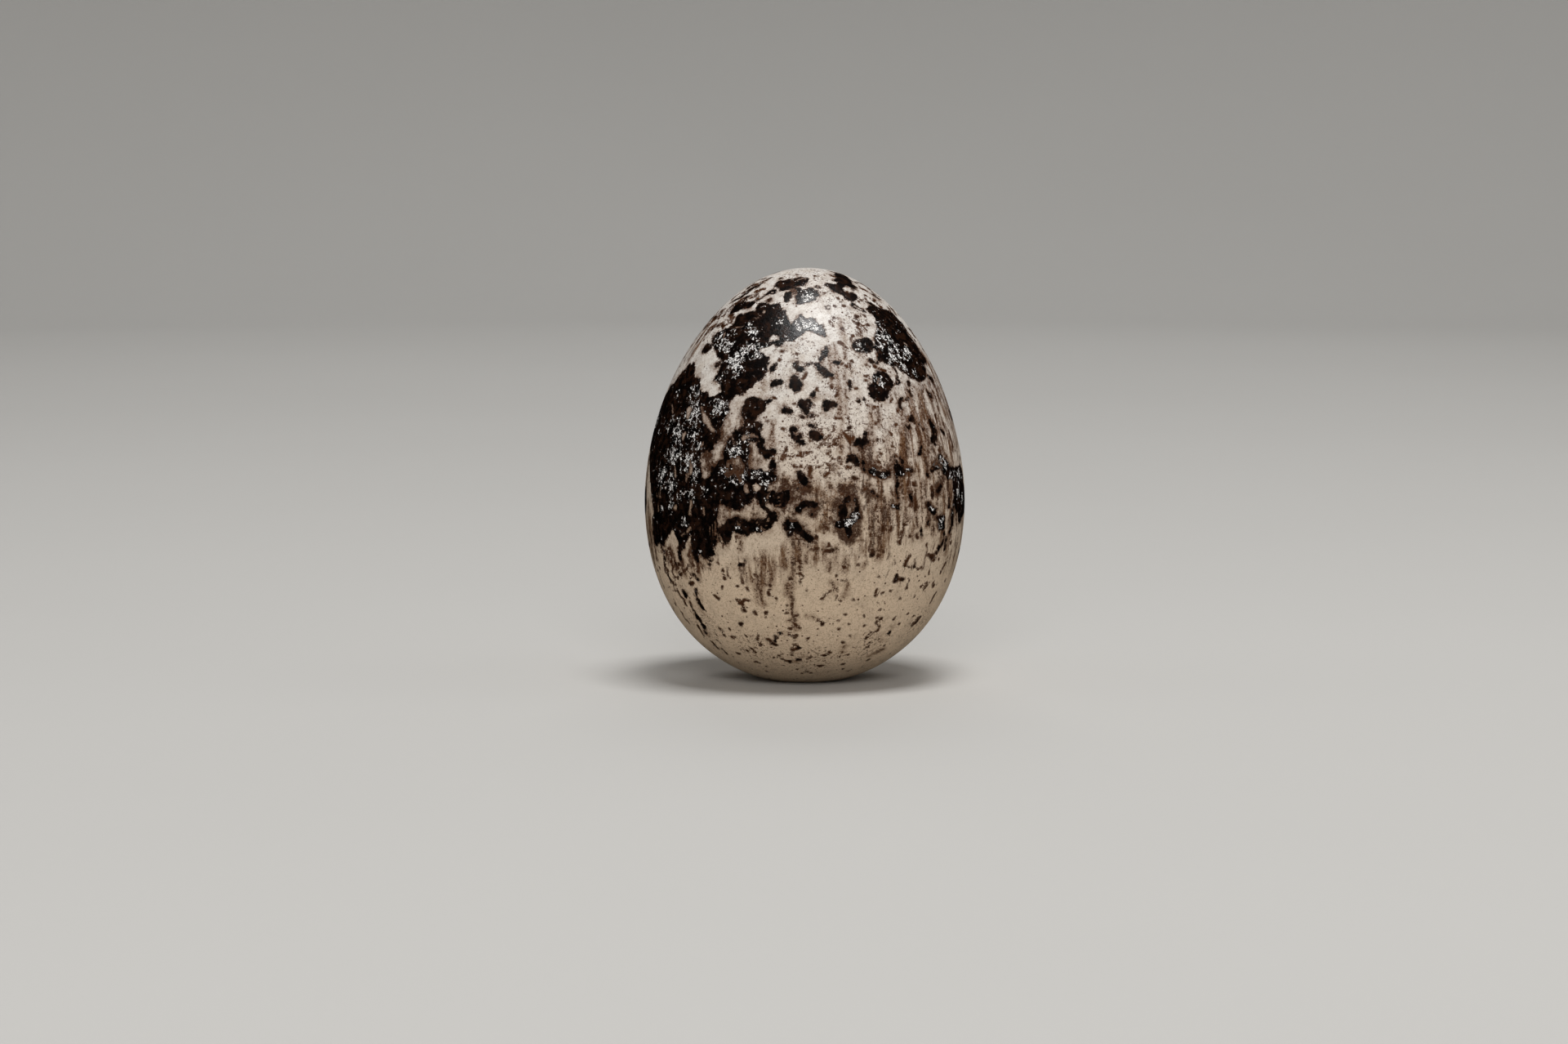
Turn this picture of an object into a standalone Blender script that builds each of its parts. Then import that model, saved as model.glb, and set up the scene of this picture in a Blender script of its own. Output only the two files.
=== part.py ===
"""A whole quail egg, standing on a small flat spot at its blunt end.

The egg is one solid, because shell, white and yolk come as one closed thing.
Units are metres. The origin is the middle of the flat spot, +Z runs up the
egg's own axis to the pointed end, and the egg is round about that axis.
"""

import math

import bmesh
import bpy

MM = 0.001

# Driving dimensions.
LENGTH = 33.8 * MM  # tip to tip, as if the blunt end had no flat spot
BREADTH = 26.0 * MM  # across the widest girth
WIDEST_DROP = 2.1 * MM  # sets how far the widest girth lies below mid length
FLAT_RADIUS = 3.4 * MM  # the flat spot that the egg stands on
FLAT_ROUNDING = 0.5 * MM  # width of the rounded edge of the flat spot

# Fineness of the surface.
MERIDIANS = 72
GIRTHS = 44
ROUNDING_STEPS = 3
MERGE_DISTANCE = 0.001 * MM

# The shell's plain finish.
SHELL_CREAM = (0.62, 0.55, 0.46, 1.0)
SHELL_ROUGHNESS = 0.5


def clear_scene():
    """Takes every object out of the scene."""
    for thing in list(bpy.data.objects):
        bpy.data.objects.remove(thing, do_unlink=True)


def radius_at(offset):
    """The egg's radius at an offset from mid length, up towards the pointed end.

    An ellipse whose width is divided by a term that grows towards the pointed
    end, which draws that end in and fills the blunt end out.
    """
    ellipse = LENGTH**2 - 4 * offset**2
    taper = LENGTH**2 + 8 * WIDEST_DROP * offset + 4 * WIDEST_DROP**2
    return BREADTH / 2 * math.sqrt(max(ellipse, 0.0) / taper)


def offset_at_radius(radius):
    """The offset from mid length, at the blunt end, where the egg is that wide.

    Setting radius_at equal to the radius gives a quadratic in the offset, and
    its lower root is the one at the blunt end.
    """
    square = BREADTH**2
    linear = 8 * WIDEST_DROP * radius**2
    constant = radius**2 * (LENGTH**2 + 4 * WIDEST_DROP**2) - square * LENGTH**2 / 4
    return (-linear - math.sqrt(linear**2 - 4 * square * constant)) / (2 * square)


def outline():
    """Points (radius, height) from the pointed tip down to the flat spot's edge.

    Equal steps of the ellipse's own angle set the points closer together at
    the ends, where the egg curves most.
    """
    flat_offset = offset_at_radius(FLAT_RADIUS)
    flat_angle = math.acos(2 * flat_offset / LENGTH)
    points = []
    for step in range(GIRTHS + 1):
        offset = LENGTH / 2 * math.cos(flat_angle * step / GIRTHS)
        points.append((radius_at(offset), offset - flat_offset))
    points[-1] = (FLAT_RADIUS, 0.0)
    return points


def shell_mesh():
    """The closed surface: the outline turned about Z, with the flat spot filled."""
    shell = bmesh.new()
    corners = [shell.verts.new((radius, 0.0, height)) for radius, height in outline()]
    for upper, lower in zip(corners, corners[1:]):
        shell.edges.new((upper, lower))
    bmesh.ops.spin(
        shell,
        geom=shell.verts[:] + shell.edges[:],
        axis=(0.0, 0.0, 1.0),
        cent=(0.0, 0.0, 0.0),
        angle=math.tau,
        steps=MERIDIANS,
        use_merge=True,
    )
    bmesh.ops.remove_doubles(shell, verts=shell.verts[:], dist=MERGE_DISTANCE)
    rim = [edge for edge in shell.edges if edge.is_boundary]
    bmesh.ops.contextual_create(shell, geom=rim)
    bmesh.ops.recalc_face_normals(shell, faces=shell.faces[:])
    bmesh.ops.bevel(
        shell,
        geom=rim,
        offset=FLAT_ROUNDING,
        offset_type="OFFSET",
        segments=ROUNDING_STEPS,
        profile=0.5,
        affect="EDGES",
    )
    mesh = bpy.data.meshes.new("quail_egg")
    shell.to_mesh(mesh)
    shell.free()
    mesh.shade_smooth()
    return mesh


def shell_material():
    """Plain satin cream, without the markings."""
    material = bpy.data.materials.new("eggshell")
    material.use_nodes = True
    surface = material.node_tree.nodes["Principled BSDF"]
    surface.inputs["Base Color"].default_value = SHELL_CREAM
    surface.inputs["Roughness"].default_value = SHELL_ROUGHNESS
    surface.inputs["Metallic"].default_value = 0.0
    material.diffuse_color = SHELL_CREAM
    return material


def build_egg():
    """Adds the egg to the scene as one named object."""
    egg = bpy.data.objects.new("quail_egg", shell_mesh())
    egg.data.materials.append(shell_material())
    bpy.context.scene.collection.objects.link(egg)
    return egg


clear_scene()
build_egg()
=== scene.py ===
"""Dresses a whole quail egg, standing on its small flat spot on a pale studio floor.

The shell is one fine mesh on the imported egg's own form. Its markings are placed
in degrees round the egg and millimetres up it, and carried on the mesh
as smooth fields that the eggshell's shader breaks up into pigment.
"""

import logging
import math
from dataclasses import dataclass
from enum import Enum
from random import Random
from typing import Dict, List, Sequence, Tuple, Union

import bpy
import numpy as np
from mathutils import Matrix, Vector, noise


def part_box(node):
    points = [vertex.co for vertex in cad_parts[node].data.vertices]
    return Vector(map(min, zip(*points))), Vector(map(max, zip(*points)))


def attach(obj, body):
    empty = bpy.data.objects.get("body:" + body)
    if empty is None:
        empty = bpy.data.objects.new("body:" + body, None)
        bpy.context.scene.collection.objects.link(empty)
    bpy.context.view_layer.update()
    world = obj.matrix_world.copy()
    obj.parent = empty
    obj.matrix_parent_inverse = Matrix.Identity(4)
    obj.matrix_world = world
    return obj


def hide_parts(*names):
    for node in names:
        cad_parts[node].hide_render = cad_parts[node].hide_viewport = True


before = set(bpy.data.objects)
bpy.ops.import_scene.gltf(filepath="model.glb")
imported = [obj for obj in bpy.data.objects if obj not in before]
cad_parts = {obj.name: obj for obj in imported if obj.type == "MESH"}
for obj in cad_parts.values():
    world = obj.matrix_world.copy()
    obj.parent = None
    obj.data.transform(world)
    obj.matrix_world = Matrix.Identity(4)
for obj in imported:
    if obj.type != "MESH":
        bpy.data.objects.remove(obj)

MM = 0.001
NODE = "quail_egg"
SLOT = "eggshell"

log = logging.getLogger("quail_egg")

# A dab is (degrees round the egg, millimetres up it, radius in millimetres).
# Degree 0 faces the camera and degrees grow to the right.
Dab = Tuple[float, float, float]
Stroke = Sequence[Dab]
Outline = Sequence[Tuple[float, float]]
Colour = Tuple[float, float, float, float]

# Black patches, as outlines of (degrees round, millimetres up).
LEFT_CROWN_PATCH = (
    (-48, 29.05), (-50, 29.5), (-48, 29.85), (-43, 30.0), (-36, 30.2), (-37, 30.65),
    (-33, 30.9), (-27, 30.7), (-21.5, 30.7), (-18.3, 30.4), (-15.6, 30.2), (-13.7, 30.25),
    (-11.4, 29.9), (-12.4, 29.5), (-9, 29.1), (-7, 29.6), (-3, 29.9), (3, 29.6), (8, 29.1),
    (10.5, 28.7), (9.5, 28.3), (6, 28.4), (2, 28.7), (-2, 28.6), (-5, 28.2), (-6.5, 27.9),
    (-11, 27.7), (-14, 27.4), (-17, 26.8), (-17.8, 26.3), (-17.3, 25.7), (-18, 25.1),
    (-19.5, 24.9), (-21.3, 24.8), (-23, 24.25), (-26, 23.9), (-29.5, 23.5), (-30.5, 23.15),
    (-32, 22.95), (-31, 22.4), (-33, 21.7), (-34.5, 21.0), (-36, 21.1), (-38, 21.6),
    (-41, 22.2), (-44, 22.9), (-43.5, 23.4), (-40, 23.6), (-37, 24.1), (-38.5, 24.45),
    (-40.5, 24.6), (-43.5, 24.8), (-42.5, 25.15), (-42.5, 25.7), (-43, 26.1), (-46, 26.5),
    (-48.5, 26.75), (-51, 27.0), (-55, 27.3), (-59, 27.8), (-58.5, 28.3), (-53, 28.65),
)
LEFT_BELT_PATCH = (
    (-62, 25.85), (-59.8, 25.5), (-59, 25.2), (-57, 25.0), (-53.5, 24.75), (-51, 24.4),
    (-49.5, 24.05), (-46, 23.75), (-43, 23.5), (-38, 23.0), (-33, 22.0), (-33, 20.8),
    (-28.5, 20.5), (-27.5, 20.1), (-20.5, 20.1), (-20.5, 18.3), (-19.5, 18.0), (-16.5, 18.15),
    (-12.5, 18.05), (-12.3, 19.0), (-10.2, 18.9), (-10.6, 18.0), (-10.0, 17.7), (-11, 17.1),
    (-12.7, 16.9), (-13, 16.4), (-9.5, 16.4), (-5.7, 16.5), (-5.2, 16.0), (-5.5, 15.5),
    (-7, 15.2), (-9.5, 15.1), (-11, 15.3), (-12.5, 15.6), (-13.5, 15.0), (-12, 14.9),
    (-9.5, 14.6), (-9, 14.2), (-10.5, 13.95), (-11.5, 13.7), (-13.5, 13.4), (-16, 13.2),
    (-19, 13.1), (-20.5, 12.85), (-21.5, 13.0), (-25, 13.1), (-26.5, 12.6), (-28.5, 12.05),
    (-30, 12.0), (-31.5, 12.2), (-32.5, 12.6), (-33.2, 12.0), (-33.6, 11.5), (-34.5, 11.0),
    (-36.5, 10.7), (-39.5, 10.8), (-41, 11.0), (-44, 11.2), (-45, 11.6), (-44.4, 12.5),
    (-45.5, 12.3), (-48, 11.6), (-50, 11.0), (-50.2, 10.4), (-52, 10.3), (-52.6, 11.0),
    (-51.5, 11.8), (-53, 12.3), (-54.5, 12.85), (-56, 12.6), (-58.5, 12.1), (-62, 11.5),
    (-65, 11.6), (-67, 11.3), (-69.5, 11.1), (-71, 11.5), (-71, 13), (-69, 14), (-71, 15),
    (-73.5, 16), (-77, 17), (-82, 18.3), (-90, 19.5), (-95, 21), (-92, 22.5), (-84, 23.3),
    (-77, 24.2), (-72, 25.1), (-68, 25.75),
)
LEFT_INNER_PATCH = (
    (-25.5, 23.35), (-23, 23.55), (-17, 23.4), (-14.8, 23.5), (-14, 23.2), (-15.6, 22.9),
    (-16, 22.55), (-18.3, 22.1), (-19.8, 21.8), (-17.5, 21.7), (-16.3, 21.5), (-16.3, 20.4),
    (-17.5, 20.2), (-20, 20.25), (-24, 20.0), (-27.5, 20.2), (-28.5, 20.6), (-27.5, 21.1),
    (-25.5, 21.0), (-24, 21.5), (-24.2, 22.0), (-25.8, 22.3), (-25.2, 22.8),
)
RIGHT_CROWN_PATCH = (
    (43, 30.2), (48, 30.5), (53, 30.45), (60, 30.35), (66, 30.1), (72, 29.7), (76, 28.9),
    (73, 28.4), (71, 28.0), (73, 27.4), (75, 26.7), (77, 26.1), (74, 25.8), (70, 25.65),
    (68, 25.1), (66, 24.8), (62, 24.45), (58, 24.4), (55, 24.7), (51, 25.0), (48, 25.3),
    (47, 25.6), (42.5, 25.9), (39, 26.2), (36, 26.4), (35.2, 26.9), (36, 27.3), (37.5, 27.7),
    (39, 28.2), (42, 28.6), (45, 29.2), (46, 29.7),
)
RIGHT_BLOTCH = (
    (33, 25.6), (38.5, 25.35), (40, 24.95), (39.8, 24.35), (37, 23.75), (35, 23.35),
    (31, 23.25), (27.5, 23.45), (27.3, 23.9), (27.8, 24.5), (29.8, 24.75), (31, 25.3),
)
RIGHT_EYE_SPOT = (
    (23, 27.5), (25.5, 27.85), (29, 28.05), (33, 28.1), (36.5, 27.7), (35.5, 27.2),
    (32.5, 26.95), (28.8, 26.85), (26, 27.1),
)
RIGHT_HOOK_PATCH = (
    (51.9, 17.7), (53.9, 18.1), (55.9, 18.35), (57.6, 18.6), (59.9, 18.8), (61.7, 18.55),
    (63.4, 18.2), (64.7, 17.9), (66.4, 17.75), (69, 17.6), (74, 17.5), (79, 17.6), (84, 16.9),
    (82, 16.2), (77, 16.3), (73, 15.6), (69, 16.6), (67, 16.8), (64.6, 16.7), (62.8, 16.85),
    (61.4, 17.1), (60, 17.2), (59.2, 17.45), (57.9, 17.65), (56.2, 17.75), (54.3, 17.6),
    (52.9, 17.45), (51.8, 17.5),
)
RIGHT_SLANT_PATCH = (
    (47.8, 15.1), (49.7, 15.0), (52, 14.7), (53.8, 14.7), (53.4, 14.15), (52, 14.1), (50, 14.35),
    (48, 14.7),
)
RIGHT_LOW_PATCH = (
    (54.1, 14.0), (56.7, 14.0), (59.7, 13.8), (59.4, 13.3), (58.8, 12.7), (55.8, 12.75), (54.6, 13.25),
)
RIGHT_LIMB_PATCH = (
    (66.4, 16.9), (69, 16.7), (74, 16.4), (82, 16.2), (88, 15.4), (88, 14.2), (82, 13.6), (76, 13),
    (72, 13.2), (70.5, 14), (69, 13.8), (67.8, 14.3), (67.2, 15.2), (66.6, 15.9),
)
TIP_PATCHES = (
    ((-36.6, 31.9), (-36.5, 32.2), (-34.3, 32.4), (-27, 32.5), (-22.5, 32.6), (-11.8, 32.75),
     (0.7, 32.7), (2.1, 32.5), (-2, 32.3), (-4.5, 32.05), (-12.6, 32.0), (-16.6, 31.8),
     (-22.6, 31.7), (-29.8, 31.8)),
    ((-13.2, 31.9), (-4.2, 31.9), (3.7, 31.95), (9.5, 31.65), (9.9, 31.3), (7, 31.0),
     (0.8, 30.85), (-3.2, 30.7), (-7, 30.9), (-10.1, 31.2), (-9.6, 31.55)),
    ((59.9, 33.05), (81.5, 33), (87.8, 32.85), (73, 32.6), (67.6, 32.35), (56.7, 32.2),
     (57.3, 31.95), (52.8, 31.65), (47.3, 31.55), (46.7, 31.9), (45.1, 32.0), (40.5, 32.0),
     (35.8, 31.85), (34.8, 31.65), (38, 31.55), (44, 31.5), (45.9, 31.3), (45.6, 31.05),
     (41.1, 30.9), (35.2, 30.8), (32.7, 31), (30.8, 31.4), (26.1, 31.45), (23, 31.65),
     (20.1, 31.95), (19.4, 32.15), (24.9, 32.3), (31, 32.2), (37.4, 32.4), (31.7, 32.55),
     (41.8, 32.7), (49.2, 32.9)),
    ((-57.9, 29.7), (-61.2, 30.35), (-61, 30.5), (-57.6, 30.75), (-50.9, 30.8), (-46.5, 30.7),
     (-43.1, 30.9), (-39.8, 31.1), (-37.5, 31.45), (-38.6, 31.65), (-35.7, 31.8), (-30.3, 31.7),
     (-27.8, 31.5), (-29.8, 31.35), (-33.8, 31.35), (-36.3, 31.2), (-39.2, 30.9), (-42.3, 30.5),
     (-45.6, 30.3), (-50.2, 30.1), (-55, 29.9), (-55.4, 29.65)),
    ((-20.6, 31.35), (-19.5, 31.5), (-16.3, 31.65), (-13.4, 31.55), (-13.2, 31.1),
     (-15.5, 30.8), (-17.7, 30.85)),
)
BLACK_PATCHES = (
    LEFT_CROWN_PATCH, LEFT_BELT_PATCH, LEFT_INNER_PATCH, RIGHT_CROWN_PATCH, RIGHT_BLOTCH,
    RIGHT_EYE_SPOT, RIGHT_HOOK_PATCH, RIGHT_SLANT_PATCH, RIGHT_LOW_PATCH,
    RIGHT_LIMB_PATCH, *TIP_PATCHES,
)

# Bare windows in the black patches.
BELT_CHANNEL = (
    (-30.5, 23.1), (-29.8, 22.3), (-30.5, 21.8), (-32.5, 21.2), (-33, 20.6), (-33.5, 20.1),
    (-35.5, 19.8), (-37, 19.3), (-35.5, 18.6), (-34.3, 18.1), (-33, 18.0), (-32.2, 18.6),
    (-31, 19.2), (-30, 19.9), (-29.5, 20.5), (-28.8, 21.0), (-27.5, 21.6), (-26.5, 21.2),
    (-25.3, 21.3), (-24.5, 21.8), (-25, 22.1), (-26.5, 22.0), (-27.3, 22.3), (-26, 22.9),
    (-25.8, 23.4),
)
BELT_WINDOW = (
    (-31.5, 15.6), (-30, 15.2), (-28, 15.05), (-25, 14.85), (-22, 14.9), (-20, 15.3),
    (-19, 15.6), (-17, 15.75), (-16, 15.5), (-15.5, 15.0), (-13, 14.6), (-13.5, 14.3),
    (-16, 14.1), (-20, 14.15), (-25, 14.2), (-28, 14.1), (-30.5, 13.5), (-32, 13.3),
    (-31.5, 14.4),
)
BARE_WINDOWS = (
    BELT_CHANNEL, BELT_WINDOW,
    ((-40.5, 18.9), (-38.5, 19.3), (-36, 18.9), (-35.2, 17.9), (-36.2, 17.2), (-38.2, 17.1),
     (-39.8, 17.8)),
    ((-26.4, 18.7), (-24.4, 18.95), (-22.2, 18.4), (-22.1, 17.9), (-24.2, 17.6), (-26.6, 17.8)),
    ((-20, 28.05), (-18, 28.35), (-15, 28.25), (-14.5, 27.95), (-17, 27.85), (-19.5, 27.85)),
    ((-24, 27.0), (-22, 27.35), (-18.5, 27.5), (-15.2, 27.6), (-15.5, 27.2), (-17, 26.85),
     (-18, 26.6), (-21, 26.75)),
    ((-15, 18.95), (-12.4, 18.95), (-12.3, 18.0), (-15.2, 18.0)),
    ((-18.5, 16.9), (-16.5, 16.95), (-15, 16.7), (-15.5, 16.2), (-17.5, 16.2)),
)

# Soft brown washes: how strong, then the outline.
BROWN_WASHES = (
    (1.0, ((10.5, 13.5), (15, 13.3), (19.5, 13.6), (20, 12.8), (18.5, 12.2), (16, 11.5),
           (14.3, 11.6), (12.5, 12.0), (11, 12.1))),
    (0.85, ((-14, 17.6), (-9, 17.8), (-5, 17.4), (0, 17.2), (4, 17.0), (7, 16.6), (12, 17.4),
            (17, 17.3), (20, 16.8), (25, 16.6), (28, 16.0), (24, 15.4), (20, 15.2), (20.5, 14.2),
            (18, 13.4), (12, 13.0), (8, 13.4), (4, 12.4), (0, 12.3), (-4, 12.4), (-7, 13.2),
            (-9, 14.2), (-8, 15.0), (-12, 15.4), (-14, 16.4))),
    (0.7, BELT_WINDOW),
    (0.95, ((-42, 19.2), (-35, 19.8), (-30, 18.6), (-21, 19.4), (-20, 17.6), (-28, 16.6), (-36, 16.6))),
    (0.65, ((-21, 20.0), (-17, 20.2), (-15.5, 19.2), (-14, 18.2), (-21, 18.0))),
    (0.9, ((19.5, 19.9), (25, 19.8), (27, 18.9), (27.5, 17.9), (24, 17.2), (20, 17.1), (18.3, 18))),
    (0.6, ((27, 18.6), (33, 18.8), (42, 18.4), (42, 17.4), (36, 16.6), (28, 17))),
    (0.6, ((-21, 22.0), (-18.5, 22.3), (-16, 22.6), (-15.8, 21.8), (-19, 21.6))),
    (0.7, ((54, 18.8), (58, 18.2), (60.5, 17.4), (60.5, 16.2), (57, 15.2), (53, 15.6), (52.5, 17))),
    (0.8, ((-31, 22.6), (-26, 22.8), (-25, 21.6), (-29, 20.4), (-31.5, 19), (-36, 18.2), (-35, 20))),
    (0.5, ((44, 16.4), (50, 16.8), (54, 15), (58, 13), (56, 11.6), (50, 13), (44, 14))),
    (0.45, ((26, 16.5), (34, 17), (36, 15), (33, 12.6), (29, 13), (26, 14.5))),
)

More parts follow.
